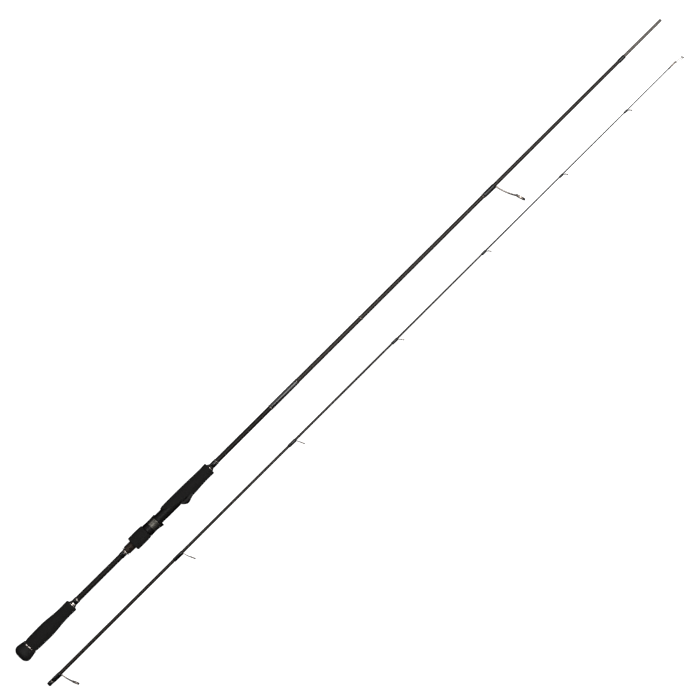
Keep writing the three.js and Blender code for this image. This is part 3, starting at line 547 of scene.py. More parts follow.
    def bar(self, path: Sequence[Vector], widths: Sequence[Point], flat: Vector, sides: int = 16) -> "Mould":
        """Runs a bar of oval section along a path.

        Args:
            path: points along the bar's middle.
            widths: its half width and half thickness at each point.
            flat: the direction that its thickness is measured in.
            sides: facets round it.

        Returns:
            This mould.
        """
        places = []
        for i, (point, (width, thickness)) in enumerate(zip(path, widths)):
            ahead = (path[min(i + 1, len(path) - 1)] - path[max(i - 1, 0)]).normalized()
            across = flat.cross(ahead).normalized()
            turned = Matrix((across, ahead.cross(across), ahead)).transposed().to_4x4()
            places.append(Matrix.Translation(point) @ turned @ Matrix.Diagonal((width, thickness, 1.0, 1.0)))
        made = bmesh.ops.create_circle(self.bm, cap_ends=True, radius=1.0, segments=sides, matrix=places[0])
        ring = {e for v in made["verts"] for e in v.link_edges}
        for before, after in zip(places, places[1:]):
            grown = bmesh.ops.extrude_edge_only(self.bm, edges=list(ring))["geom"]
            moved = {g for g in grown if isinstance(g, bmesh.types.BMVert)}
            bmesh.ops.transform(self.bm, matrix=after @ before.inverted(), verts=list(moved))
            ring = {g for g in grown if isinstance(g, bmesh.types.BMEdge) and set(g.verts) <= moved}
        bmesh.ops.contextual_create(self.bm, geom=list(ring))
        bmesh.ops.recalc_face_normals(self.bm, faces=self.bm.faces[:])
        return self

    def moved(self, matrix: Matrix) -> "Mould":
        """Transforms the whole mould."""
        bmesh.ops.transform(self.bm, matrix=matrix, verts=self.bm.verts[:])
        return self

    def ease(self, width: float, over: float = 35.0, segments: int = 3) -> "Mould":
        """Rounds the edges whose faces meet at more than an angle.

        Args:
            width: how wide the rounding is.
            over: the angle, in degrees.
            segments: facets across the rounding.

        Returns:
            This mould.
        """
        limit = math.radians(over)
        sharp = [e for e in self.bm.edges if e.is_manifold and e.calc_face_angle(0.0) > limit]
        bmesh.ops.bevel(
            self.bm, geom=sharp, offset=width, offset_type="OFFSET", affect="EDGES",
            segments=segments, profile=0.5, material=-1, clamp_overlap=True,
        )
        return self

    def _through(self, *changes: Callable[[bpy.types.Object], None]) -> "Mould":
        """Runs the mesh through modifiers that changes() put on a passing object."""
        held = bpy.data.meshes.new("held")
        self.bm.to_mesh(held)
        passing = bpy.data.objects.new("passing", held)
        bpy.context.scene.collection.objects.link(passing)
        for change in changes:
            change(passing)
        graph = bpy.context.evaluated_depsgraph_get()
        result = bpy.data.meshes.new_from_object(passing.evaluated_get(graph))
        self.bm.clear()
        self.bm.from_mesh(result)
        bpy.data.objects.remove(passing)
        bpy.data.meshes.remove(held)
        bpy.data.meshes.remove(result)
        return self

    def combine(self, other: "Mould", how: Joining) -> "Mould":
        """Cuts, adds or intersects another mould, which is used up."""
        mesh = bpy.data.meshes.new("other")
        other.bm.to_mesh(mesh)
        other.bm.free()
        tool = bpy.data.objects.new("other", mesh)
        bpy.context.scene.collection.objects.link(tool)

        def change(passing: bpy.types.Object) -> None:
            """Puts the boolean on the passing object."""
            modifier = passing.modifiers.new("combine", "BOOLEAN")
            modifier.operation, modifier.solver, modifier.object = how.value, "EXACT", tool

        self._through(change)
        bpy.data.objects.remove(tool)
        bpy.data.meshes.remove(mesh)
        return self

    def cast(self, grain: float, rounds: int) -> "Mould":
        """Recasts the outside as one even skin with soft edges, fused where shells overlap.

        Args:
            grain: size of its facets.
            rounds: how often it is smoothed.

        Returns:
            This mould.
        """

        def change(passing: bpy.types.Object) -> None:
            """Puts the remesh on the passing object."""
            modifier = passing.modifiers.new("cast", "REMESH")
            modifier.mode, modifier.voxel_size, modifier.adaptivity = "VOXEL", grain, 0.0

        self._through(change)
        for _ in range(rounds):
            bmesh.ops.smooth_vert(
                self.bm, verts=self.bm.verts[:], factor=0.5, use_axis_x=True, use_axis_y=True,
                use_axis_z=True,
            )
        return self

    def wind(self) -> "Mould":
        """Lays the UV map that wound patterns follow: turns round the axis, and millimetres along it."""
        layer = self.bm.loops.layers.uv.new("wound")
        for face in self.bm.faces:
            middle = face.calc_center_median()
            around = math.atan2(middle.z, middle.y)
            for loop in face.loops:
                co = loop.vert.co
                off = math.atan2(co.z, co.y) - around if math.hypot(co.y, co.z) > 1e-6 else 0.0
                off = (off + math.pi) % FULL_TURN - math.pi
                loop[layer].uv = ((around + off) / FULL_TURN, co.x)
        return self


# ---------------------------------------------------------------- sections and pieces


@dataclass(frozen=True)
class Section:
    """One of the rod's two halves: the body it rides on, and where it lies."""

    body: str
    origin: Point
    tilt: float

    def place(self) -> Matrix:
        """Gives the step from this section's millimetres to the row frame's metres."""
        scaled = Matrix.Diagonal((MILLIMETRE, MILLIMETRE, MILLIMETRE, 1.0))
        return scaled @ Matrix.Translation(self.origin) @ Matrix.Rotation(self.tilt, 4, "Y")


def lay(
    name: str,
    mould: Mould,
    section: Section,
    finish: Finish,
    nodes: Sequence[str] = (),
    body: str = "",
    crease: float = 40.0,
) -> bpy.types.Object:
    """Makes a piece of a mould, in its place and riding on its body.

    Args:
        name: the piece's name.
        mould: its mesh in the section's millimetres, which is used up.
        section: where it lies.
        finish: what it is made of.
        nodes: CAD nodes that it stands for.
        body: the body it rides on, if that isn't the section's own.
        crease: edges sharper than this many degrees stay crisp.

    Returns:
        The new object.
    """
    mould.moved(section.place())
    mesh = bpy.data.meshes.new(name)
    mould.bm.to_mesh(mesh)
    mould.bm.free()
    mesh.shade_smooth()
    mesh.set_sharp_from_angle(angle=math.radians(crease))
    mesh.materials.append(finish.material())
    piece = bpy.data.objects.new(name, mesh)
    bpy.context.scene.collection.objects.link(piece)
    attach(piece, body or section.body)
    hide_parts(*nodes)
    log.info("%s: %d faces", name, len(mesh.polygons))
    return piece


BUTT = Section("butt_section", (-630.975643, 36.353808, 13.182302), math.asin((13.1 - 7.6) / (947.9 - 7.4)))
TIP = Section("tip_section", (-630.975643, -19.846192, 5.457676), math.asin((5.3 - 2.2) / (1247.0 - 29.6)))


@dataclass
class Tubes:
    """The two carbon blanks: their tapers are what every wrap and guide is fitted to."""

    butt_length: float = 1262.0
    butt_start: float = 6.0
    butt_radius: float = 4.35
    shoulder_radius: float = 2.4
    ferrule_length: float = 72.0
    ferrule_step: float = 0.14
    ferrule_taper: float = 0.2
    overlap: float = 67.0
    slip: float = 0.05
    tip_length: float = 1235.0
    tip_base: float = 2.85
    tip_end: float = 0.7
    tip_power: float = 1.25
    bore_end: float = 700.0
    lacquer_end: float = 545.6  # under the label's front trim
    solid_start: float = 857.0  # under the fifth guide's wrap: a solid tip is spliced in here

    @property
    def ferrule_start(self) -> float:
        """Where the ground ferrule begins on the butt blank."""
        return self.butt_length - self.ferrule_length

    def butt(self, x: float) -> float:
        """Gives the butt blank's radius at x."""
        slope = (self.shoulder_radius - self.butt_radius) / (self.ferrule_start - self.butt_start)
        return self.butt_radius + slope * (x - self.butt_start)

    def ferrule(self, x: float) -> float:
        """Gives the ferrule's radius at x."""
        along = (x - self.ferrule_start) / self.ferrule_length
        return self.shoulder_radius - self.ferrule_step - self.ferrule_taper * along

    def tip(self, x: float) -> float:
        """Gives the tip blank's radius at x."""
        left = max(0.0, 1 - x / self.tip_length)
        return self.tip_end + (self.tip_base - self.tip_end) * left**self.tip_power

    def build(self) -> None:
        """Builds the butt tube, its ground ferrule and the tip tube."""
        split = self.ferrule_start
        self._butt_tube("butt_blank_lower_tube", self.butt_start, self.lacquer_end, LACQUERED, ["butt_blank"])
        self._butt_tube("butt_blank_upper_tube", self.lacquer_end, split, CARBON)
        end = self.butt_length
        rim = self.ferrule(end)
        hollow = rim - 0.75
        steps = 20
        ground = [
            (split + 0.5 + (self.ferrule_length - 1.0) * i / steps, self.ferrule(split + 3.6 * i))
            for i in range(1, steps)
        ]
        ferrule = [
            (split, 0.0),
            (split, self.butt(split) - 0.02),
            (split + 0.5, self.ferrule(split)),
            *ground,
            (end - 0.4, rim),
            (end - 0.1, rim - 0.12),
            (end, rim - 0.3),
            (end, hollow),
            (end - 30.0, hollow),
            (end - 30.0, 0.0),
        ]
        lay("male_ferrule", Mould().turn(ferrule, 48).wind(), BUTT, GROUND_CARBON)
        self._tip()

    def _butt_tube(
        self, name: str, start: float, end: float, finish: Finish, nodes: Sequence[str] = (),
    ) -> None:
        """Builds a length of the butt tube.

        Args:
            name: the piece's name.
            start: where it begins.
            end: where it ends.
            finish: how its surface is coated.
            nodes: the CAD node that it stands for.
        """
        steps = 24
        places = [start + (end - start) * i / steps for i in range(steps + 1)]
        tube = Mould().turn([(start, 0.0), *((x, self.butt(x)) for x in places), (end, 0.0)], 48).wind()
        lay(name, tube, BUTT, finish, nodes)

    def _tip(self) -> None:
        """Builds the tip tube with its socket."""
        split, end, steps = self.solid_start, self.tip_length, 48
        mouth = self.butt_length - self.overlap

        def socket(x: float) -> float:
            """Gives the socket's radius at x."""
            return self.ferrule(mouth + x) + self.slip

        outer = [(split * i / steps, self.tip(split * i / steps)) for i in range(1, steps + 1)]
        profile = [
            (0.15, self.tip(0.0)),
            *outer,
            (split, 0.0),
            (self.bore_end, 0.0),
            (self.bore_end, 0.5),
            (self.overlap + 12.0, self.tip(self.overlap) - 0.95),
            (self.overlap + 2.0, socket(self.overlap)),
            (0.0, socket(0.0)),
            (0.0, self.tip(0.0) - 0.15),
        ]
        lay(
            "tip_blank_tube", Mould().turn(profile, 40, loop=True).wind(), TIP, CARBON,
            ["tip_blank"],
        )
        places = [split + (end - split) * i / 20 for i in range(21)]
        solid = Mould().turn([(split, 0.0), *((x, self.tip(x)) for x in places), (end, 0.0)], 32).wind()
        lay("tip_blank_solid_end", solid, TIP, LACQUERED)


TUBES = Tubes()


class Binding(Enum):
    """What is bound round a blank, as the finish that it takes and a slot name, which is not used."""

    WRAP = (WRAP, "coated_thread")
    TRIM = (TRIM, "metallic_thread")
    LABEL = (LABEL, "coated_thread")


@dataclass
class Wrap:
    """Thread bound round a blank, with its coating: it rises and falls in a soft curve at its ends."""

    node: str
    start: float
    end: float
    radius: Radius
    section: Section = BUTT
    binding: Binding = Binding.WRAP
    thickness: float = 0.45
    foot_reach: float = 0.0  # how far from the axis the foot under it stands, if there is one
    foot_half: float = 0.0

    def _coated(self) -> list[Point]:
        """Gives the profile of a levelled coat."""
        x0, x1, t = self.start, self.end, self.thickness
        edge = min(1.6, (x1 - x0) / 4)
        rise = [(0.0, 0.05), (0.12, 0.42), (0.4, 0.82), (1.0, 1.0)]
        up = [(x0 + edge * a, self.radius(x0) + GAP / 2 + t * b) for a, b in rise]
        down = [(x1 - edge * a, self.radius(x1) + GAP / 2 + t * b) for a, b in reversed(rise)]
        return [*up, *down]

    def _ribbed(self, pitch: float = 0.25) -> list[Point]:
        """Gives the profile of bare windings, one rib a turn."""
        turns = max(2, round((self.end - self.start) / pitch))
        step = (self.end - self.start) / turns
        line: list[Point] = []
        for i in range(turns):
            for share, rise in ((0.0, -0.07), (0.25, -0.01), (0.5, 0.0), (0.75, -0.01)):
                x = self.start + step * (i + share)
                line.append((x, self.radius(x) + GAP + self.thickness + rise))
        return [*line, (self.end, self.radius(self.end) + GAP + self.thickness - 0.07)]

    def build(self) -> None:
        """Builds the wrap in place of its CAD node."""
        outer = self._ribbed() if self.binding is Binding.TRIM else self._coated()
        inner = [(self.end, self.radius(self.end) - 0.02), (self.start, self.radius(self.start) - 0.02)]
        mould = Mould().turn([*outer, *inner], 48, loop=True)
        if self.foot_reach:
            self._swell(mould)
        finish, slot = self.binding.value
        lay(self.node + "_band", mould.wind(), self.section, finish, [self.node], crease=70.0)

    def _swell(self, mould: Mould) -> None:
        """Swells the side towards the guides over the foot that is bound down."""
        length = self.end - self.start
        for vert in mould.bm.verts:
            x, y, z = vert.co
            radius = math.hypot(y, z)
            if y >= 0 or radius < self.radius(x) + 0.01:
                continue
            along = min(1.0, max(0.0, (x - self.start) / length))
            ramp = min(1.0, 0.25 + along * 2.2)
            lift = max(0.0, self.foot_reach + GAP - self.radius(x)) * ramp
            width = math.exp(-((z / max(self.foot_half + 0.5, 0.6)) ** 2))
            vert.co.y = y - lift * width * (-y / radius)


# ---------------------------------------------------------------- grips and cap


@dataclass
class Grips:
    """Butt cap, rear grip and the metal rings that close the grips."""

    cap_length: float = 18.0
    cap_radius: float = 13.1
    cap_face: float = 6.4
    cap_front: float = 11.5
    grip_start: float = 21.0
    grip_end: float = 103.0
    ring_radius: float = 11.4

    def build(self) -> None:
        """Builds every piece behind the reel seat."""
        self._cap()
        self._ring()
        self._rear_grip()
        self.check("rear_grip_winding_check", self.grip_end, 4.1, 6.0, 0.7)
        Wrap("rear_grip_wrap", 107.2, 112.3, TUBES.butt).build()
        Wrap(
            "rear_grip_wrap_trim", 112.4, 114.2, TUBES.butt, binding=Binding.TRIM,
            thickness=TRIM_THICKNESS,
        ).build()

    def _cap(self) -> None:
        """Builds the rubber cap: a shallow dish in its end, and a groove before the ring."""
        bore = TUBES.butt_radius + GAP
        shoulder = [
            (0.0, self.cap_face), (0.15, 7.6), (1.2, 9.4), (3.2, 11.6), (5.4, 12.75),
            (7.4, self.cap_radius), (9.6, 13.0),
        ]
        dome = flowing([(0.05, 5.6), *shoulder, (13.4, 12.4)], 5)
        front = flowing([(13.4, 12.4), (16.0, 11.95), (self.cap_length, self.cap_front)], 4)[1:]
        profile = [
            (0.9, 0.0), (0.9, 4.4), (0.6, 5.0), *dome, *front,
            (self.cap_length, bore), (5.9, bore), (5.9, 0.0),
        ]
        lay(
            "butt_cap_rubber", Mould().turn(profile, 72), BUTT, CAP_RUBBER, ["butt_cap"],
            crease=50.0,
        )

    def _ring(self) -> None:
        """Builds the bright ring between cap and grip."""
        x0, x1, bore = self.cap_length + GAP, self.grip_start - GAP, TUBES.butt_radius + GAP
        profile = [
            (x0, bore), (x0, self.ring_radius - 0.3), (x0 + 0.5, self.ring_radius),
            (x1 - 0.5, self.ring_radius), (x1, self.ring_radius - 0.3), (x1, bore),
        ]
        ring = Mould().turn(profile, 72, loop=True).ease(0.15, 25.0)
        lay("butt_cap_bright_ring", ring, BUTT, ANODISED, ["butt_cap_ring"])

    def _rear_grip(self) -> None:
        """Builds the rear grip: a soft bulge that runs down to a slim neck."""
        start, end = self.grip_start, self.grip_end - GAP
        keys = [
            (start + 0.9, 10.15), (start + 3, 10.5), (start + 7, 10.95), (start + 17, 11.2),
            (start + 34, 11.3), (start + 47, 10.3), (start + 58, 9.25), (start + 68, 8.95),
            (end - 5, 9.1), (end - 1.2, 9.15),
        ]
        rear = [(start, 4.4), (start, 9.4), (start + 0.25, 9.85)]
        front = [(end - 0.5, 9.0), (end - 0.15, 8.65), (end, 8.2), (end, 3.9)]
        grip = Mould().turn([*rear, *flowing(keys, 6), *front], 72, loop=True)
        lay("rear_grip_foam", grip, BUTT, EVA, ["rear_grip"], crease=70.0)

    @staticmethod
    def check(node: str, start: float, length: float, rim: float, lip: float) -> None:
        """Builds a winding check: a metal cone that closes a grip against the blank.

        Args:
            node: the CAD node that it stands for.
            start: where it begins.
            length: how long it is.
            rim: its radius at the grip.
            lip: width of its rim.
        """
        end = start + length
        inner = TUBES.butt(end) + 0.02
        flare = flowing(
            [
                (start + lip, rim), (start + length * 0.5, (rim + inner) / 2 + 0.25),
                (end - lip * 0.6, inner + lip),
            ],
            5,
        )
        profile = [
            (start, inner), (start, rim - 0.05), (start + 0.15, rim + 0.05), *flare,
            (end - lip * 0.2, inner + lip * 0.8), (end, inner + lip * 0.4), (end, inner),
        ]
        lay(
            node + "_ring", Mould().turn(profile, 64, loop=True), BUTT, ANODISED,
            [node], crease=35.0,
        )


# ---------------------------------------------------------------- reel seat


@dataclass
class ReelSeat:
    """The screw-lock reel seat with its hoods, its nut and the foregrip that is fitted over its front."""

    start: float = 210.4
    thread_end: float = 263.9
    end: float = 332.4
    crest: float = 6.7
    root: float = 6.15
    pitch: float = 2.0
    bore: float = 5.6
    far: float = 7.4
    side: float = 8.6
    near: float = 8.8
    deck: float = 7.7
    pad: Point = (282.7, 308.7, 3.6, 0.3)  # from, to, half width, rise
    foot: float = 310.9
    crown_at: float = 319.4
    crown: float = 14.0
    hood_half: float = 7.6
    pocket_height: float = 4.7
    pocket_half: float = 5.9
    nut_start: float = 222.9
    nut_length: float = 26.3
    nut_bore: float = 7.0
    core: float = 8.7
    collar: float = 7.9
    spring: float = 8.2
    collar_end: float = 254.8
    ring_start: float = 251.9
    ring_width: float = 1.3
    hood_start: float = 249.6
    hood_end: float = 272.8
    shell: Point = (258.0, 270.2)
    shell_wall: float = 0.35
    foregrip: Point = (282.4, 373.8)
    cut_sweep: float = 43.6  # how far forward the foregrip's curved cut runs
    cut_depth: float = 5.7  # how far past the axis it comes down

    def build(self) -> None:
        """Builds the seat, then what moves on it, then the grip in front."""
        Wrap("seat_rear_wrap", 198.7, 206.2, TUBES.butt).build()
        Wrap(
            "seat_rear_wrap_trim", 206.3, 208.1, TUBES.butt, binding=Binding.TRIM,
            thickness=TRIM_THICKNESS,
        ).build()
        Grips.check("seat_rear_winding_check", 208.2, 2.1, 6.3, 0.6)
        self._tail()
        self._body()
        self._nut()
        self._moving_hood()
        self._foregrip()
        Grips.check("foregrip_winding_check", 373.8, 3.7, 5.9, 0.6)
        Wrap("foregrip_wrap", 377.6, 385.5, TUBES.butt).build()
        Wrap(
            "foregrip_wrap_trim", 385.6, 387.4, TUBES.butt, binding=Binding.TRIM, thickness=TRIM_THICKNESS,
        ).build()

    def _core(self, spare: float, start: float, end: float) -> Mould:
        """Makes a block in the shape of the seat, grown all round.

        Args:
            spare: how much it is grown.
            start: where it begins.
            end: where it ends.

        Returns:
            The block.
        """
        sizes = (self.far + spare, self.near + spare, self.side + spare)
        block = Mould().loft([(start, *sizes), (end, *sizes)], 96)
        return block.combine(
            Mould().block((start - 2, -20, -20), (end + 2, -self.deck - spare, 20)), Joining.CUT,
        )

    def _hood_block(self, spare: float) -> Mould:
        """Makes a block in the shape of the fixed hood, grown all round by spare."""
        top = self.crown + spare
        roof = flowing(
            [
                (self.foot - spare, -self.deck - 0.9), (self.foot + 2.6 - spare, -11.2 - spare),
                (self.foot + 5.6, -13.3 - spare), (self.crown_at + 0.6, -top),
                (self.foot + 14.0, -12.2 - spare), (self.end + spare, -9.9 - spare),
            ],
            6,
        )
        block = Mould().plate(
            [(self.foot - spare, -6.5), *roof, (self.end + spare, -6.5)], self.hood_half + 3,
        )
        half = self.hood_half + spare
        arch = flowing([(0.0, top), (half * 0.55, top - 0.35), (half * 0.9, top - 2.1), (half, top - 5.2)], 6)
        left = [(-z, y) for z, y in reversed(arch[1:])]
        section = Mould().plate([*left, *arch, (half, 0.0), (-half, 0.0)], 16.0)
        turned = Matrix(((0, 0, 1, 0), (0, -1, 0, 0), (1, 0, 0, 0), (0, 0, 0, 1)))
        section.moved(Matrix.Translation((self.end - 12, 0, 0)) @ turned).tidy()
        return block.combine(section, Joining.KEEP)

    def _tail(self) -> None:
        """Builds the threaded tail: a core with the ridge of the screw wound round it."""
        start, end = self.start, self.thread_end + 0.6
        core = [
            (start, self.bore), (start, self.root - 0.35), (start + 0.35, self.root), (end, self.root),
            (end, self.bore),
        ]
        turns = int((self.thread_end - self.start - self.pitch) / self.pitch)
        tail = Mould().turn(core, 64, loop=True)
        tail.thread(start + 1.0, turns, self.pitch, self.root, self.crest)
        lay("seat_thread", tail, BUTT, SEAT_THREAD)

    def _body(self) -> None:
        """Builds the moulded body: the flat for the reel's foot, its pad, the fixed hood and its pocket."""
        x0, x1 = self.thread_end, self.end
        keys = [
            (x0, self.far - 1.2, self.near - 1.2, self.side - 1.2),
            (x0 + 0.5, self.far - 0.35, self.near - 0.35, self.side - 0.35),
            (x0 + 1.2, self.far, self.near, self.side),
            (x0 + 30, self.far, self.near, self.side),
            (x1, self.far, self.near, self.side),
        ]
        body = Mould().loft(keys, 96)
        body.combine(Mould().block((x0 - 2, -20, -20), (x1 + 2, -self.deck, 20)), Joining.CUT)
        body.combine(self._hood_block(0.0), Joining.ADD)
        roof = -self.deck - self.pocket_height
        pocket = flowing(
            [(self.foot - 1, roof), (self.crown_at + 0.5, roof), (self.foot + 14, -self.deck - 2.6)], 5,
        )
        space = Mould().plate(
            [(self.foot - 1, -self.deck), *pocket, (self.foot + 14, -self.deck)], self.pocket_half,
        )
        body.combine(space, Joining.CUT)
        low, high, half, rise = self.pad
        body.combine(
            Mould().block((low, -self.deck - rise, -half), (high, -self.deck + 1, half)), Joining.ADD,
        )
        for flank in (-1, 1):
            hollow = Mould().pebble((318.6, -5.4, flank * 8.2), (5.6, 1.9, 2.0), -0.12)
            body.combine(hollow, Joining.CUT)
        body.combine(Mould().rod(x0 - 2, x1 + 2, self.bore, 72), Joining.CUT)
        body.cast(0.3, 5)
        lay("reel_seat_moulding", body, BUTT, SEAT_NYLON, ["reel_seat_body"], crease=60.0)

    def _nut(self) -> None:
        """Builds the nut's core and collar, and the foam sleeve round it."""
        x0, x1 = self.nut_start, self.nut_start + self.nut_length
        groove = self.spring - 0.8
        core = [
            (x0 + 0.8, self.nut_bore), (x0 + 0.8, self.core - GAP), (x1, self.core - GAP), (x1, self.collar),
            (self.ring_start - GAP, self.collar), (self.ring_start - GAP, groove),
            (self.ring_start + self.ring_width + GAP, groove),
            (self.ring_start + self.ring_width + GAP, self.collar),
            (self.collar_end, self.collar), (self.collar_end, self.nut_bore),
        ]
        lay(
            "lock_nut_core", Mould().turn(core, 72, loop=True), BUTT, SEAT_NYLON,
            ["lock_nut"], body="nut",
        )
        grip = self.core + 2.1
        keys = [
            (x0 + 1.3, grip - 0.05), (x0 + 6, grip), (x0 + 18, grip), (x1 - 2.0, grip - 0.35),
            (x1 - 0.7, grip - 0.6),
        ]
        rear = [(x0, self.core), (x0, grip - 1.3), (x0 + 0.4, grip - 0.6)]
        front = [(x1 - 0.15, grip - 0.95), (x1, grip - 1.3), (x1, self.core)]
        sleeve = Mould().turn([*rear, *flowing(keys, 5), *front], 72, loop=True)
        lay(
            "lock_nut_foam", sleeve, BUTT, EVA, ["lock_nut_grip"], body="nut", crease=70.0,
        )

    def _outline(self) -> list[Point]:
        """Gives the moving hood's stations: (x, far, near, side)."""
        x0, x1 = self.hood_start, self.hood_end
        keys = [
            (x0 + 0.7, 9.1, 10.2, 10.3), (x0 + 4.0, 8.85, 9.95, 10.05), (self.shell[0], 8.6, 9.7, 9.8),
            (x0 + 12.5, 8.6, 9.8, 9.8), (x1 - 8.0, 8.62, 10.1, 9.82), (x1 - 4.0, 8.85, 10.9, 10.05),
            (x1 - 1.0, 9.1, 11.6, 10.3),
        ]
        return flowing(keys, 5)

    def _moving_hood(self) -> None:
        """Builds the moving hood: a moulded core under a gunmetal shell that leaves its lip bare."""
        x0, x1 = self.hood_start, self.hood_end
        line = self._outline()
        ends = [(x0, 8.4, 9.5, 9.6), (x0 + 0.2, 8.8, 9.9, 10.0)], [
            (x1 - 0.3, 9.05, 11.5, 10.25), (x1, 8.8, 11.25, 10.0),
        ]
        low, high = self.shell

        def sunk(station: Point) -> Point:
            """Takes a station in where the shell lies on it."""
            x = station[0]
            inset = self.shell_wall + 0.05 if low < x < high else 0.0
            return (x, *(size - inset for size in station[1:]))

        hood = Mould().loft([*ends[0], *(sunk(s) for s in line), *ends[1]], 96)
        clear = RUNNING_GAP
        hood.combine(Mould().rod(x0 - 1, self.collar_end + clear, self.collar + clear, 64), Joining.CUT)
        hood.combine(Mould().rod(x0, x1 + 1, self.nut_bore, 64), Joining.CUT)
        hood.combine(self._core(clear, self.collar_end + 1.4, x1 + 1), Joining.CUT)
        slot = [
            (x1 - 10.0, 0.5, self.deck + 0.5, 6.2), (x1 - 6.0, 0.5, 9.2, 6.2),
            (x1 - 1.0, 0.5, 10.6, 6.2), (x1 + 1, 0.5, 10.6, 6.2),
        ]
        hood.combine(Mould().loft(slot, 64), Joining.CUT)
        hood.cast(0.26, 3)
        lay(
            "moving_hood_moulding", hood, BUTT, SEAT_NYLON, ["moving_hood"],
            body="hood", crease=60.0,
        )
        outside = [s for s in line if low <= s[0] <= high]
        inside = [(s[0], *(size - self.shell_wall for size in s[1:])) for s in outside]
        self._shell(outside, inside)

    def _shell(self, outside: list[Point], inside: list[Point]) -> None:
        """Builds the metal shell between an outside and an inside, with eased rims."""
        shell = Mould().loft(outside, 96)
        reach = [(inside[0][0] - 1.0, *inside[0][1:]), *inside[1:-1], (inside[-1][0] + 1.0, *inside[-1][1:])]
        shell.combine(Mould().loft(reach, 96), Joining.CUT)
        shell.tidy().ease(0.12, 50.0, 2)
        lay(
            "moving_hood_metal_shell", shell, BUTT, GUNMETAL, ["moving_hood_shell"],
            body="hood", crease=50.0,
        )

    def _foregrip(self) -> None:
        """Builds the foregrip: foam cut on a long curve round the fixed hood, and slimmer towards the rod."""
        x0, x1 = self.foregrip
        keys = [
            (x0, 8.0, 10.6, 10.3), (x0 + 3, 8.7, 10.6, 10.3), (x0 + 9, 9.6, 10.6, 10.3),
            (x0 + 34, 9.7, 10.6, 10.3),
            (self.end + 1, 9.5, 10.6, 10.3), (x1 - 26, 9.2, 9.7, 9.5), (x1 - 12, 8.9, 9.1, 9.1),
            (x1 - 4, 9.2, 9.3, 9.3), (x1 - 1.2, 9.3, 9.4, 9.4),
        ]
        body = Mould().loft([*flowing(keys, 5), (x1 - 0.4, 9.0, 9.1, 9.1), (x1 - GAP, 8.4, 8.5, 8.5)], 96)
        body.combine(self._core(0.05, x0 - 1, self.end + 0.2), Joining.CUT)
        body.combine(self._hood_block(0.05), Joining.CUT)
        bore = TUBES.butt(self.end) + 0.02
        body.combine(Mould().rod(self.end - 1, x1 + 1, bore, 48), Joining.CUT)
        sweep, depth = self.cut_sweep, self.cut_depth
        curve = []
        for i in range(25):
            t = i / 24
            x = x0 + 2 * t * (1 - t) * sweep * 0.36 + t * t * sweep
            curve.append((x, (1 - t) ** 2 * 9.5 + (1 - (1 - t) ** 2) * -depth - 0.3 * t * t))
        wedge = [(x0 - 22, 10.5), (x0, 10.5), *curve, (x0 + sweep + 0.8, -21.2), (x0 - 22, -21.2)]
        body.combine(Mould().plate(wedge, 20.6), Joining.CUT)
        body.cast(0.42, 4)
        lay("foregrip_foam", body, BUTT, EVA, ["foregrip"], crease=70.0)


# ---------------------------------------------------------------- line guides


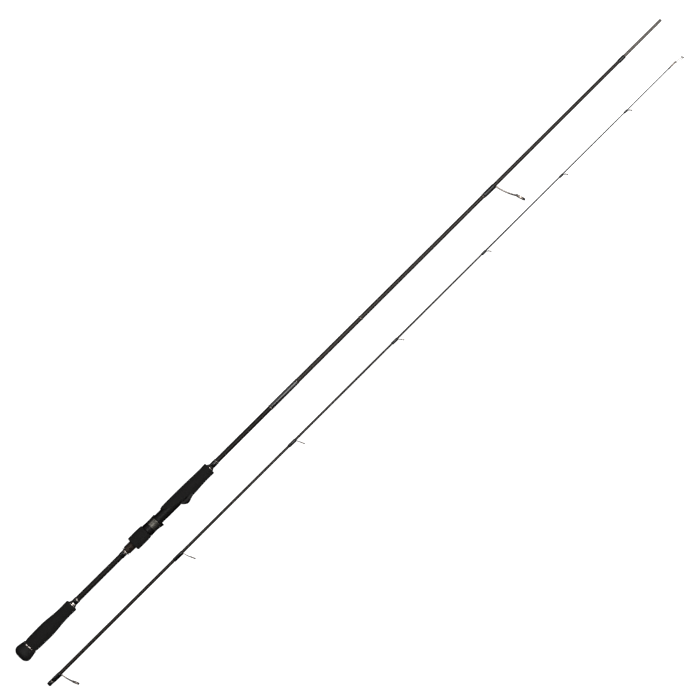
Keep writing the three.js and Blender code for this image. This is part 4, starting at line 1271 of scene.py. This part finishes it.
@dataclass
class LineGuide:
    """A single-foot line guide: a stamped frame with a ceramic ring, bound down by its wrap."""

    name: str
    x: float  # where the frame leaves the blank
    height: float
    advance: float
    lean: float
    leg_lean: float
    outer: float
    wrap: float
    foot_width: float
    section: Section
    radius: Radius
    hoop: float = 0.5
    ring: float = 0.75
    ring_width: float = 1.6
    wire: float = 0.7
    foot_thickness: float = 0.3
    grain: float = 0.11

    @property
    def centre(self) -> Vector:
        """The middle of the ring."""
        return Vector((self.x + self.advance, -self.height, 0.0))

    @property
    def outward(self) -> Vector:
        """The direction across the ring, away from the blank."""
        lean = math.radians(self.lean)
        return Vector((math.sin(lean), -math.cos(lean), 0.0))

    @property
    def foot_top(self) -> float:
        """How far from the axis the foot's underside lies."""
        return self.radius(self.x - self.wrap) + GAP

    def seated(self, mould: Mould) -> Mould:
        """Turns a ring made round the X axis into the plane of this guide's ring."""
        return mould.moved(Matrix.Translation(self.centre) @ Matrix.Rotation(math.radians(self.lean), 4, "Z"))

    def hoop_mould(self) -> Mould:
        """Makes the hoop that holds the ring."""
        inner, half = self.outer - self.hoop, self.ring_width * 0.46
        rim = [
            (-half, inner), (-half * 0.95, self.outer - 0.12), (-half * 0.6, self.outer),
            (half * 0.6, self.outer), (half * 0.95, self.outer - 0.12), (half, inner),
        ]
        return self.seated(Mould().turn(rim, 72, loop=True))

    def ring_mould(self) -> Mould:
        """Makes the ceramic ring: a lapped round inside that the line runs on."""
        outer = self.outer - self.hoop - 0.02
        half = self.ring_width / 2
        inner = outer - self.ring
        bulge = flowing(
            [
                (-half * 0.72, outer), (-half * 0.98, outer - self.ring * 0.28),
                (-half * 0.7, outer - self.ring * 0.72), (0.0, inner),
                (half * 0.7, outer - self.ring * 0.72), (half * 0.98, outer - self.ring * 0.28),
                (half * 0.72, outer),
            ],
            4,
        )
        return self.seated(Mould().turn(bulge, 72, loop=True))

    def _leg(self, mould: Mould, flank: int) -> None:
        """Adds one leg, from the foot to the hoop's flank on its side.

        Args:
            mould: the frame's mould.
            flank: +1 or -1, the side in Z.
        """
        spread = math.radians(48)
        middle = self.outer - self.hoop / 2
        end = self.centre - self.outward * middle * math.cos(spread) + Vector(
            (0, 0, flank * middle * math.sin(spread))
        )
        rise_from = self.foot_top + self.foot_thickness / 2
        side = flank * max(self.foot_width / 2 - self.wire / 2, 0.1)
        start = Vector((self.x - self.wire / 2, -rise_from, side))
        rise = (-end.y - rise_from) * 0.55
        bend = Vector((start.x + rise * math.tan(math.radians(self.leg_lean)), start.y - rise, side * 1.4))
        path = bent(start, bend, end, 18)
        half = self.wire / 2
        widths = [(half * 1.3, half * 1.7) for _ in path]
        mould.bar(path, widths, Vector((1, 0, 0)))

    def _foot(self, mould: Mould) -> None:
        """Adds the tongue that lies along the blank, thinned towards its point."""
        half, rear = self.foot_width / 2, self.x - self.wrap + 2 * self.foot_thickness
        lie = -self.foot_top - self.foot_thickness / 2
        length = self.x - rear
        keys = [(0.0, 0.35, 0.35), (0.15, 0.7, 0.6), (0.5, 0.95, 0.9), (1.0, 1.0, 1.0)]
        path = [Vector((rear + length * a, lie, 0.0)) for a, _, _ in keys]
        widths = [(half * w, self.foot_thickness / 2 * t) for _, w, t in keys]
        mould.bar(path, widths, Vector((0, 1, 0)))

    def build(self, frame_node: str = "", ring_node: str = "") -> None:
        """Builds the frame, the ring and the wrap in place of their CAD nodes."""
        mould = self.hoop_mould()
        for flank in (-1, 1):
            self._leg(mould, flank)
        self._foot(mould)
        mould.cast(self.grain, 2)
        lay(
            self.name + "_stamped_frame", mould, self.section, STAINLESS,
            [frame_node or self.name + "_frame"], crease=70.0,
        )
        lay(
            self.name + "_lapped_ring", self.ring_mould(), self.section, CERAMIC,
            [ring_node or self.name + "_ring"], crease=70.0,
        )
        reach = self.foot_top + self.foot_thickness
        end = self.x - self.wire - GAP
        wrap = Wrap(
            self.name + "_wrap", self.x - self.wrap, end, self.radius, self.section, foot_reach=reach,
            foot_half=self.foot_width / 2,
        )
        wrap.build()


@dataclass
class TipTop(LineGuide):
    """The guide at the rod's end: a tube over the blank, and three wires that hold the ring before it."""

    tube: float = 9.0

    def build(self, frame_node: str = "", ring_node: str = "") -> None:
        """Builds the tube with its wires, and the ring."""
        length, start = self.x, self.x - self.tube
        bore = self.radius(start) + GAP
        outer, end = bore + 0.45, self.x + 1.5
        profile = [
            (start, bore), (start, outer - 0.1), (start + 0.15, outer), (end - 0.7, outer),
            (end - 0.2, outer - 0.25), (end, outer - 0.55), (end, 0.0), (length + GAP, 0.0),
            (length + GAP, bore),
        ]
        mould = Mould().turn(profile, 40, loop=True)
        hoop_radius = self.outer - self.hoop / 2
        for flank in (-1, 1):
            foot = Vector((end - 2, 0.0, flank * (outer - 0.15)))
            top = self.centre + Vector((0, 0, flank * hoop_radius))
            bend = Vector(((foot.x + top.x) / 2, 0.0, flank * hoop_radius))
            self._wire(mould, foot, bend, top, Vector((0, 1, 0)))
        foot = Vector((end - 2, -(outer - 0.15), 0.0))
        bend = Vector(((end + self.centre.x) / 2, -self.height * 1.4, 0.0))
        self._wire(mould, foot, bend, self.centre + self.outward * hoop_radius, Vector((0, 0, 1)))
        hoop = self.hoop_mould()
        mesh = bpy.data.meshes.new("hoop")
        hoop.bm.to_mesh(mesh)
        hoop.bm.free()
        mould.bm.from_mesh(mesh)
        bpy.data.meshes.remove(mesh)
        mould.cast(0.1, 2)
        lay(
            "tip_top_wire_frame", mould, self.section, STAINLESS, ["tip_top_frame"],
            crease=70.0,
        )
        lay(
            "tip_top_lapped_ring", self.ring_mould(), self.section, CERAMIC,
            ["tip_top_ring"], crease=70.0,
        )
        Wrap("tip_top_wrap", start - 5.0, start - GAP, self.radius, self.section, thickness=0.32).build()

    @staticmethod
    def _wire(mould: Mould, foot: Vector, bend: Vector, top: Vector, flat: Vector) -> None:
        """Adds a round wire from foot to top, drawn towards bend."""
        path = bent(foot, bend, top, 14)
        mould.bar(path, [(0.35, 0.35)] * len(path), flat, 12)


@dataclass
class Guides:
    """Every line guide, from the stripper on the butt section to the tip top."""

    stripper_at: float = 935.0
    tip_top_at: float = 1247.0
    runners: list[Point] = field(default_factory=lambda: [
        # from the tip, height, advance, lean, leg lean, outer radius, wrap, foot width
        (983, 16.2, 4.7, 23, 10, 4.2, 17, 2.0),
        (760, 10.3, 3.4, 23, 15, 3.6, 14, 1.6),
        (559, 6.4, 3.2, 32, 26, 2.8, 12, 1.2),
        (385, 4.7, 2.9, 33, 28, 2.5, 9, 1.0),
        (233, 4.2, 2.7, 33, 28, 2.4, 8, 0.8),
        (106, 3.8, 2.5, 33, 28, 2.25, 7, 0.7),
    ])

    def build(self) -> None:
        """Builds the guides in order, with the wraps and trims beside them."""
        LineGuide(
            "stripper_guide", self.stripper_at, 37.5, 12.9, 17, 11, 7.6, 22, 3.0, BUTT, TUBES.butt,
            hoop=0.75, ring=1.35, ring_width=3.3, wire=1.25, foot_thickness=0.6, grain=0.16,
        ).build()
        trim = self.stripper_at - 22 - GAP
        Wrap(
            "stripper_guide_wrap_trim", trim - 1.6, trim, TUBES.butt, binding=Binding.TRIM,
            thickness=TRIM_THICKNESS,
        ).build()
        LineGuide(
            "guide_1", 24.0, 24.6, 5.6, 23, 7, 5.3, 16, 2.4, TIP, TUBES.tip,
            hoop=0.65, ring=1.1, ring_width=2.9, wire=1.05, foot_thickness=0.5, grain=0.14,
        ).build()
        Wrap("tip_base_wrap", 0.3, 6.4, TUBES.tip, TIP).build()
        Wrap("tip_base_wrap_trim", 6.5, 7.9, TUBES.tip, TIP, Binding.TRIM, TRIM_THICKNESS).build()
        for i, (from_tip, *sizes) in enumerate(self.runners):
            LineGuide(f"guide_{i + 2}", self.tip_top_at - from_tip, *sizes, TIP, TUBES.tip).build()
        TipTop(
            "tip_top", TUBES.tip_length, 2.2, 12.0, 25, 0, 2.2, 5, 0.7, TIP, TUBES.tip, hoop=0.45,
            ring=0.64,
        ).build()


@dataclass
class Markings:
    """The bands along the butt blank: the label's coated stretch, the single band and the ferrule wrap."""

    label: Point = (492.6, 546.4)
    trim: float = 1.6
    band: Point = (669.8, 671.6)

    def build(self) -> None:
        """Builds the bands in order."""
        low, high = self.label
        Wrap("label_rear_trim", low, low + self.trim, TUBES.butt, binding=Binding.TRIM).build()
        Wrap(
            "label_coat", low + self.trim + GAP, high - self.trim - GAP, TUBES.butt,
            binding=Binding.LABEL, thickness=0.3,
        ).build()
        Wrap("label_front_trim", high - self.trim, high, TUBES.butt, binding=Binding.TRIM).build()
        Wrap("blank_trim_band", *self.band, TUBES.butt, binding=Binding.TRIM).build()
        end = TUBES.ferrule_start
        Wrap("ferrule_wrap", end - 11.4, end - GAP, TUBES.butt).build()


def dress_hidden_parts() -> None:
    """Gives the CAD nodes that stay shown inside the seat their finishes."""
    finishes = {
        "seat_arbor_rear": ARBOR_FOAM, "seat_arbor_front": ARBOR_FOAM,
        "hood_retaining_ring": SPRING_STEEL,
    }
    for node, finish in finishes.items():
        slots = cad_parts[node].material_slots
        slots[0].material = finish.material()


# ---------------------------------------------------------------- studio


@dataclass
class Studio:
    """A pale floor, soft lights and a long lens straight above."""

    roll: float = 44.82  # degrees that the rod climbs across the picture
    width: float = 0.9765  # metres across the picture
    lens: float = 200.0
    sensor: float = 36.0
    aside: float = -0.0123  # the aim's offset from the rod's middle, to the right and up in the picture
    above: float = 0.0092
    fill: float = 0.1  # how bright the sky is as a fill light, of which a quarter shows in reflections

    def build(self) -> None:
        """Sets up the floor, the lights, the world and the camera."""
        self._floor()
        self._lights()
        self._camera()

    def _floor(self) -> None:
        """Lays the floor: matt and nearly white, lit from within a little, as a light table is."""
        bm = bmesh.new()
        bmesh.ops.create_grid(bm, x_segments=1, y_segments=1, size=12.0)
        bmesh.ops.translate(bm, verts=bm.verts[:], vec=(0, 0, -0.0004))
        mesh = bpy.data.meshes.new("floor")
        bm.to_mesh(mesh)
        bm.free()
        made = bpy.data.materials.new("floor_opal_sheet")
        made.use_nodes = True
        shader = made.node_tree.nodes["Principled BSDF"]
        shader.inputs["Base Color"].default_value = linear("F4F4F4")
        shader.inputs["Roughness"].default_value = 1.0
        shader.inputs["Specular IOR Level"].default_value = 0.0
        shader.inputs["Emission Color"].default_value = linear("FFFFFF")
        shader.inputs["Emission Strength"].default_value = 0.93
        mesh.materials.append(made)
        floor = bpy.data.objects.new("floor", mesh)
        bpy.context.scene.collection.objects.link(floor)
        floor.visible_glossy = False
        floor.visible_diffuse = False

    def _light(self, name: str, place: Point, size: float, watts: float) -> None:
        """Adds a square soft box that faces the rod.

        Args:
            name: its name.
            place: where it hangs, in metres.
            size: its side.
            watts: how strong it is.
        """
        data = bpy.data.lights.new(name, "AREA")
        data.shape, data.size, data.energy = "SQUARE", size, watts
        lamp = bpy.data.objects.new(name, data)
        bpy.context.scene.collection.objects.link(lamp)
        lamp.location = place
        lamp.rotation_euler = (-Vector(place)).to_track_quat("-Z", "Y").to_euler()

    def _lights(self) -> None:
        """Hangs one broad box overhead and one on each side, under an even sky."""
        self._light("overhead", (0.5, 0.1, 3.0), 1.7, 48.0)
        self._light("upper_side", (-0.4, 2.6, 2.2), 1.4, 11.0)
        self._light("lower_side", (0.6, -2.6, 2.2), 1.4, 8.0)
        world = bpy.data.worlds.new("studio")
        world.use_nodes = True
        tree = world.node_tree
        background = tree.nodes["Background"]
        background.inputs["Color"].default_value = linear("FFFFFF")
        path = add(tree, "LightPath")
        seen = add(
            tree, "MapRange", {"Value": path.outputs["Is Camera Ray"]},
            {"To Min": self.fill, "To Max": 1.0},
        )
        mirrored = add(
            tree, "MapRange", {"Value": path.outputs["Is Glossy Ray"]},
            {"To Min": 0.0, "To Max": self.fill * 0.75},
        )
        strength = add(
            tree, "Math", {0: seen.outputs["Result"], 1: mirrored.outputs["Result"]},
            operation="SUBTRACT",
        )
        tree.links.new(strength.outputs[0], background.inputs["Strength"])
        bpy.context.scene.world = world

    def _camera(self) -> None:
        """Hangs the camera above the rod, turned so that the rod climbs to the right."""
        low, high = cad_box
        middle = (low + high) / 2
        turn = math.radians(self.roll)
        right = Vector((math.cos(turn), -math.sin(turn), 0.0))
        up = Vector((math.sin(turn), math.cos(turn), 0.0))
        aim = middle + right * self.aside + up * self.above
        distance = self.width * self.lens / self.sensor
        data = bpy.data.cameras.new("camera")
        data.lens, data.sensor_width = self.lens, self.sensor
        data.clip_start, data.clip_end = 0.1, 50.0
        camera = bpy.data.objects.new("camera", data)
        bpy.context.scene.collection.objects.link(camera)
        camera.location = aim + Vector((0.0, 0.0, distance))
        camera.rotation_euler = (0.0, 0.0, -turn)
        bpy.context.scene.camera = camera
        bpy.context.scene.view_settings.view_transform = "Standard"


def main() -> None:
    """Builds the rod from butt to tip, and the studio around it."""
    logging.basicConfig(level=logging.INFO, format="%(message)s")
    Studio().build()
    TUBES.build()
    Grips().build()
    ReelSeat().build()
    Markings().build()
    Guides().build()
    dress_hidden_parts()


if __name__ == "__main__":
    main()
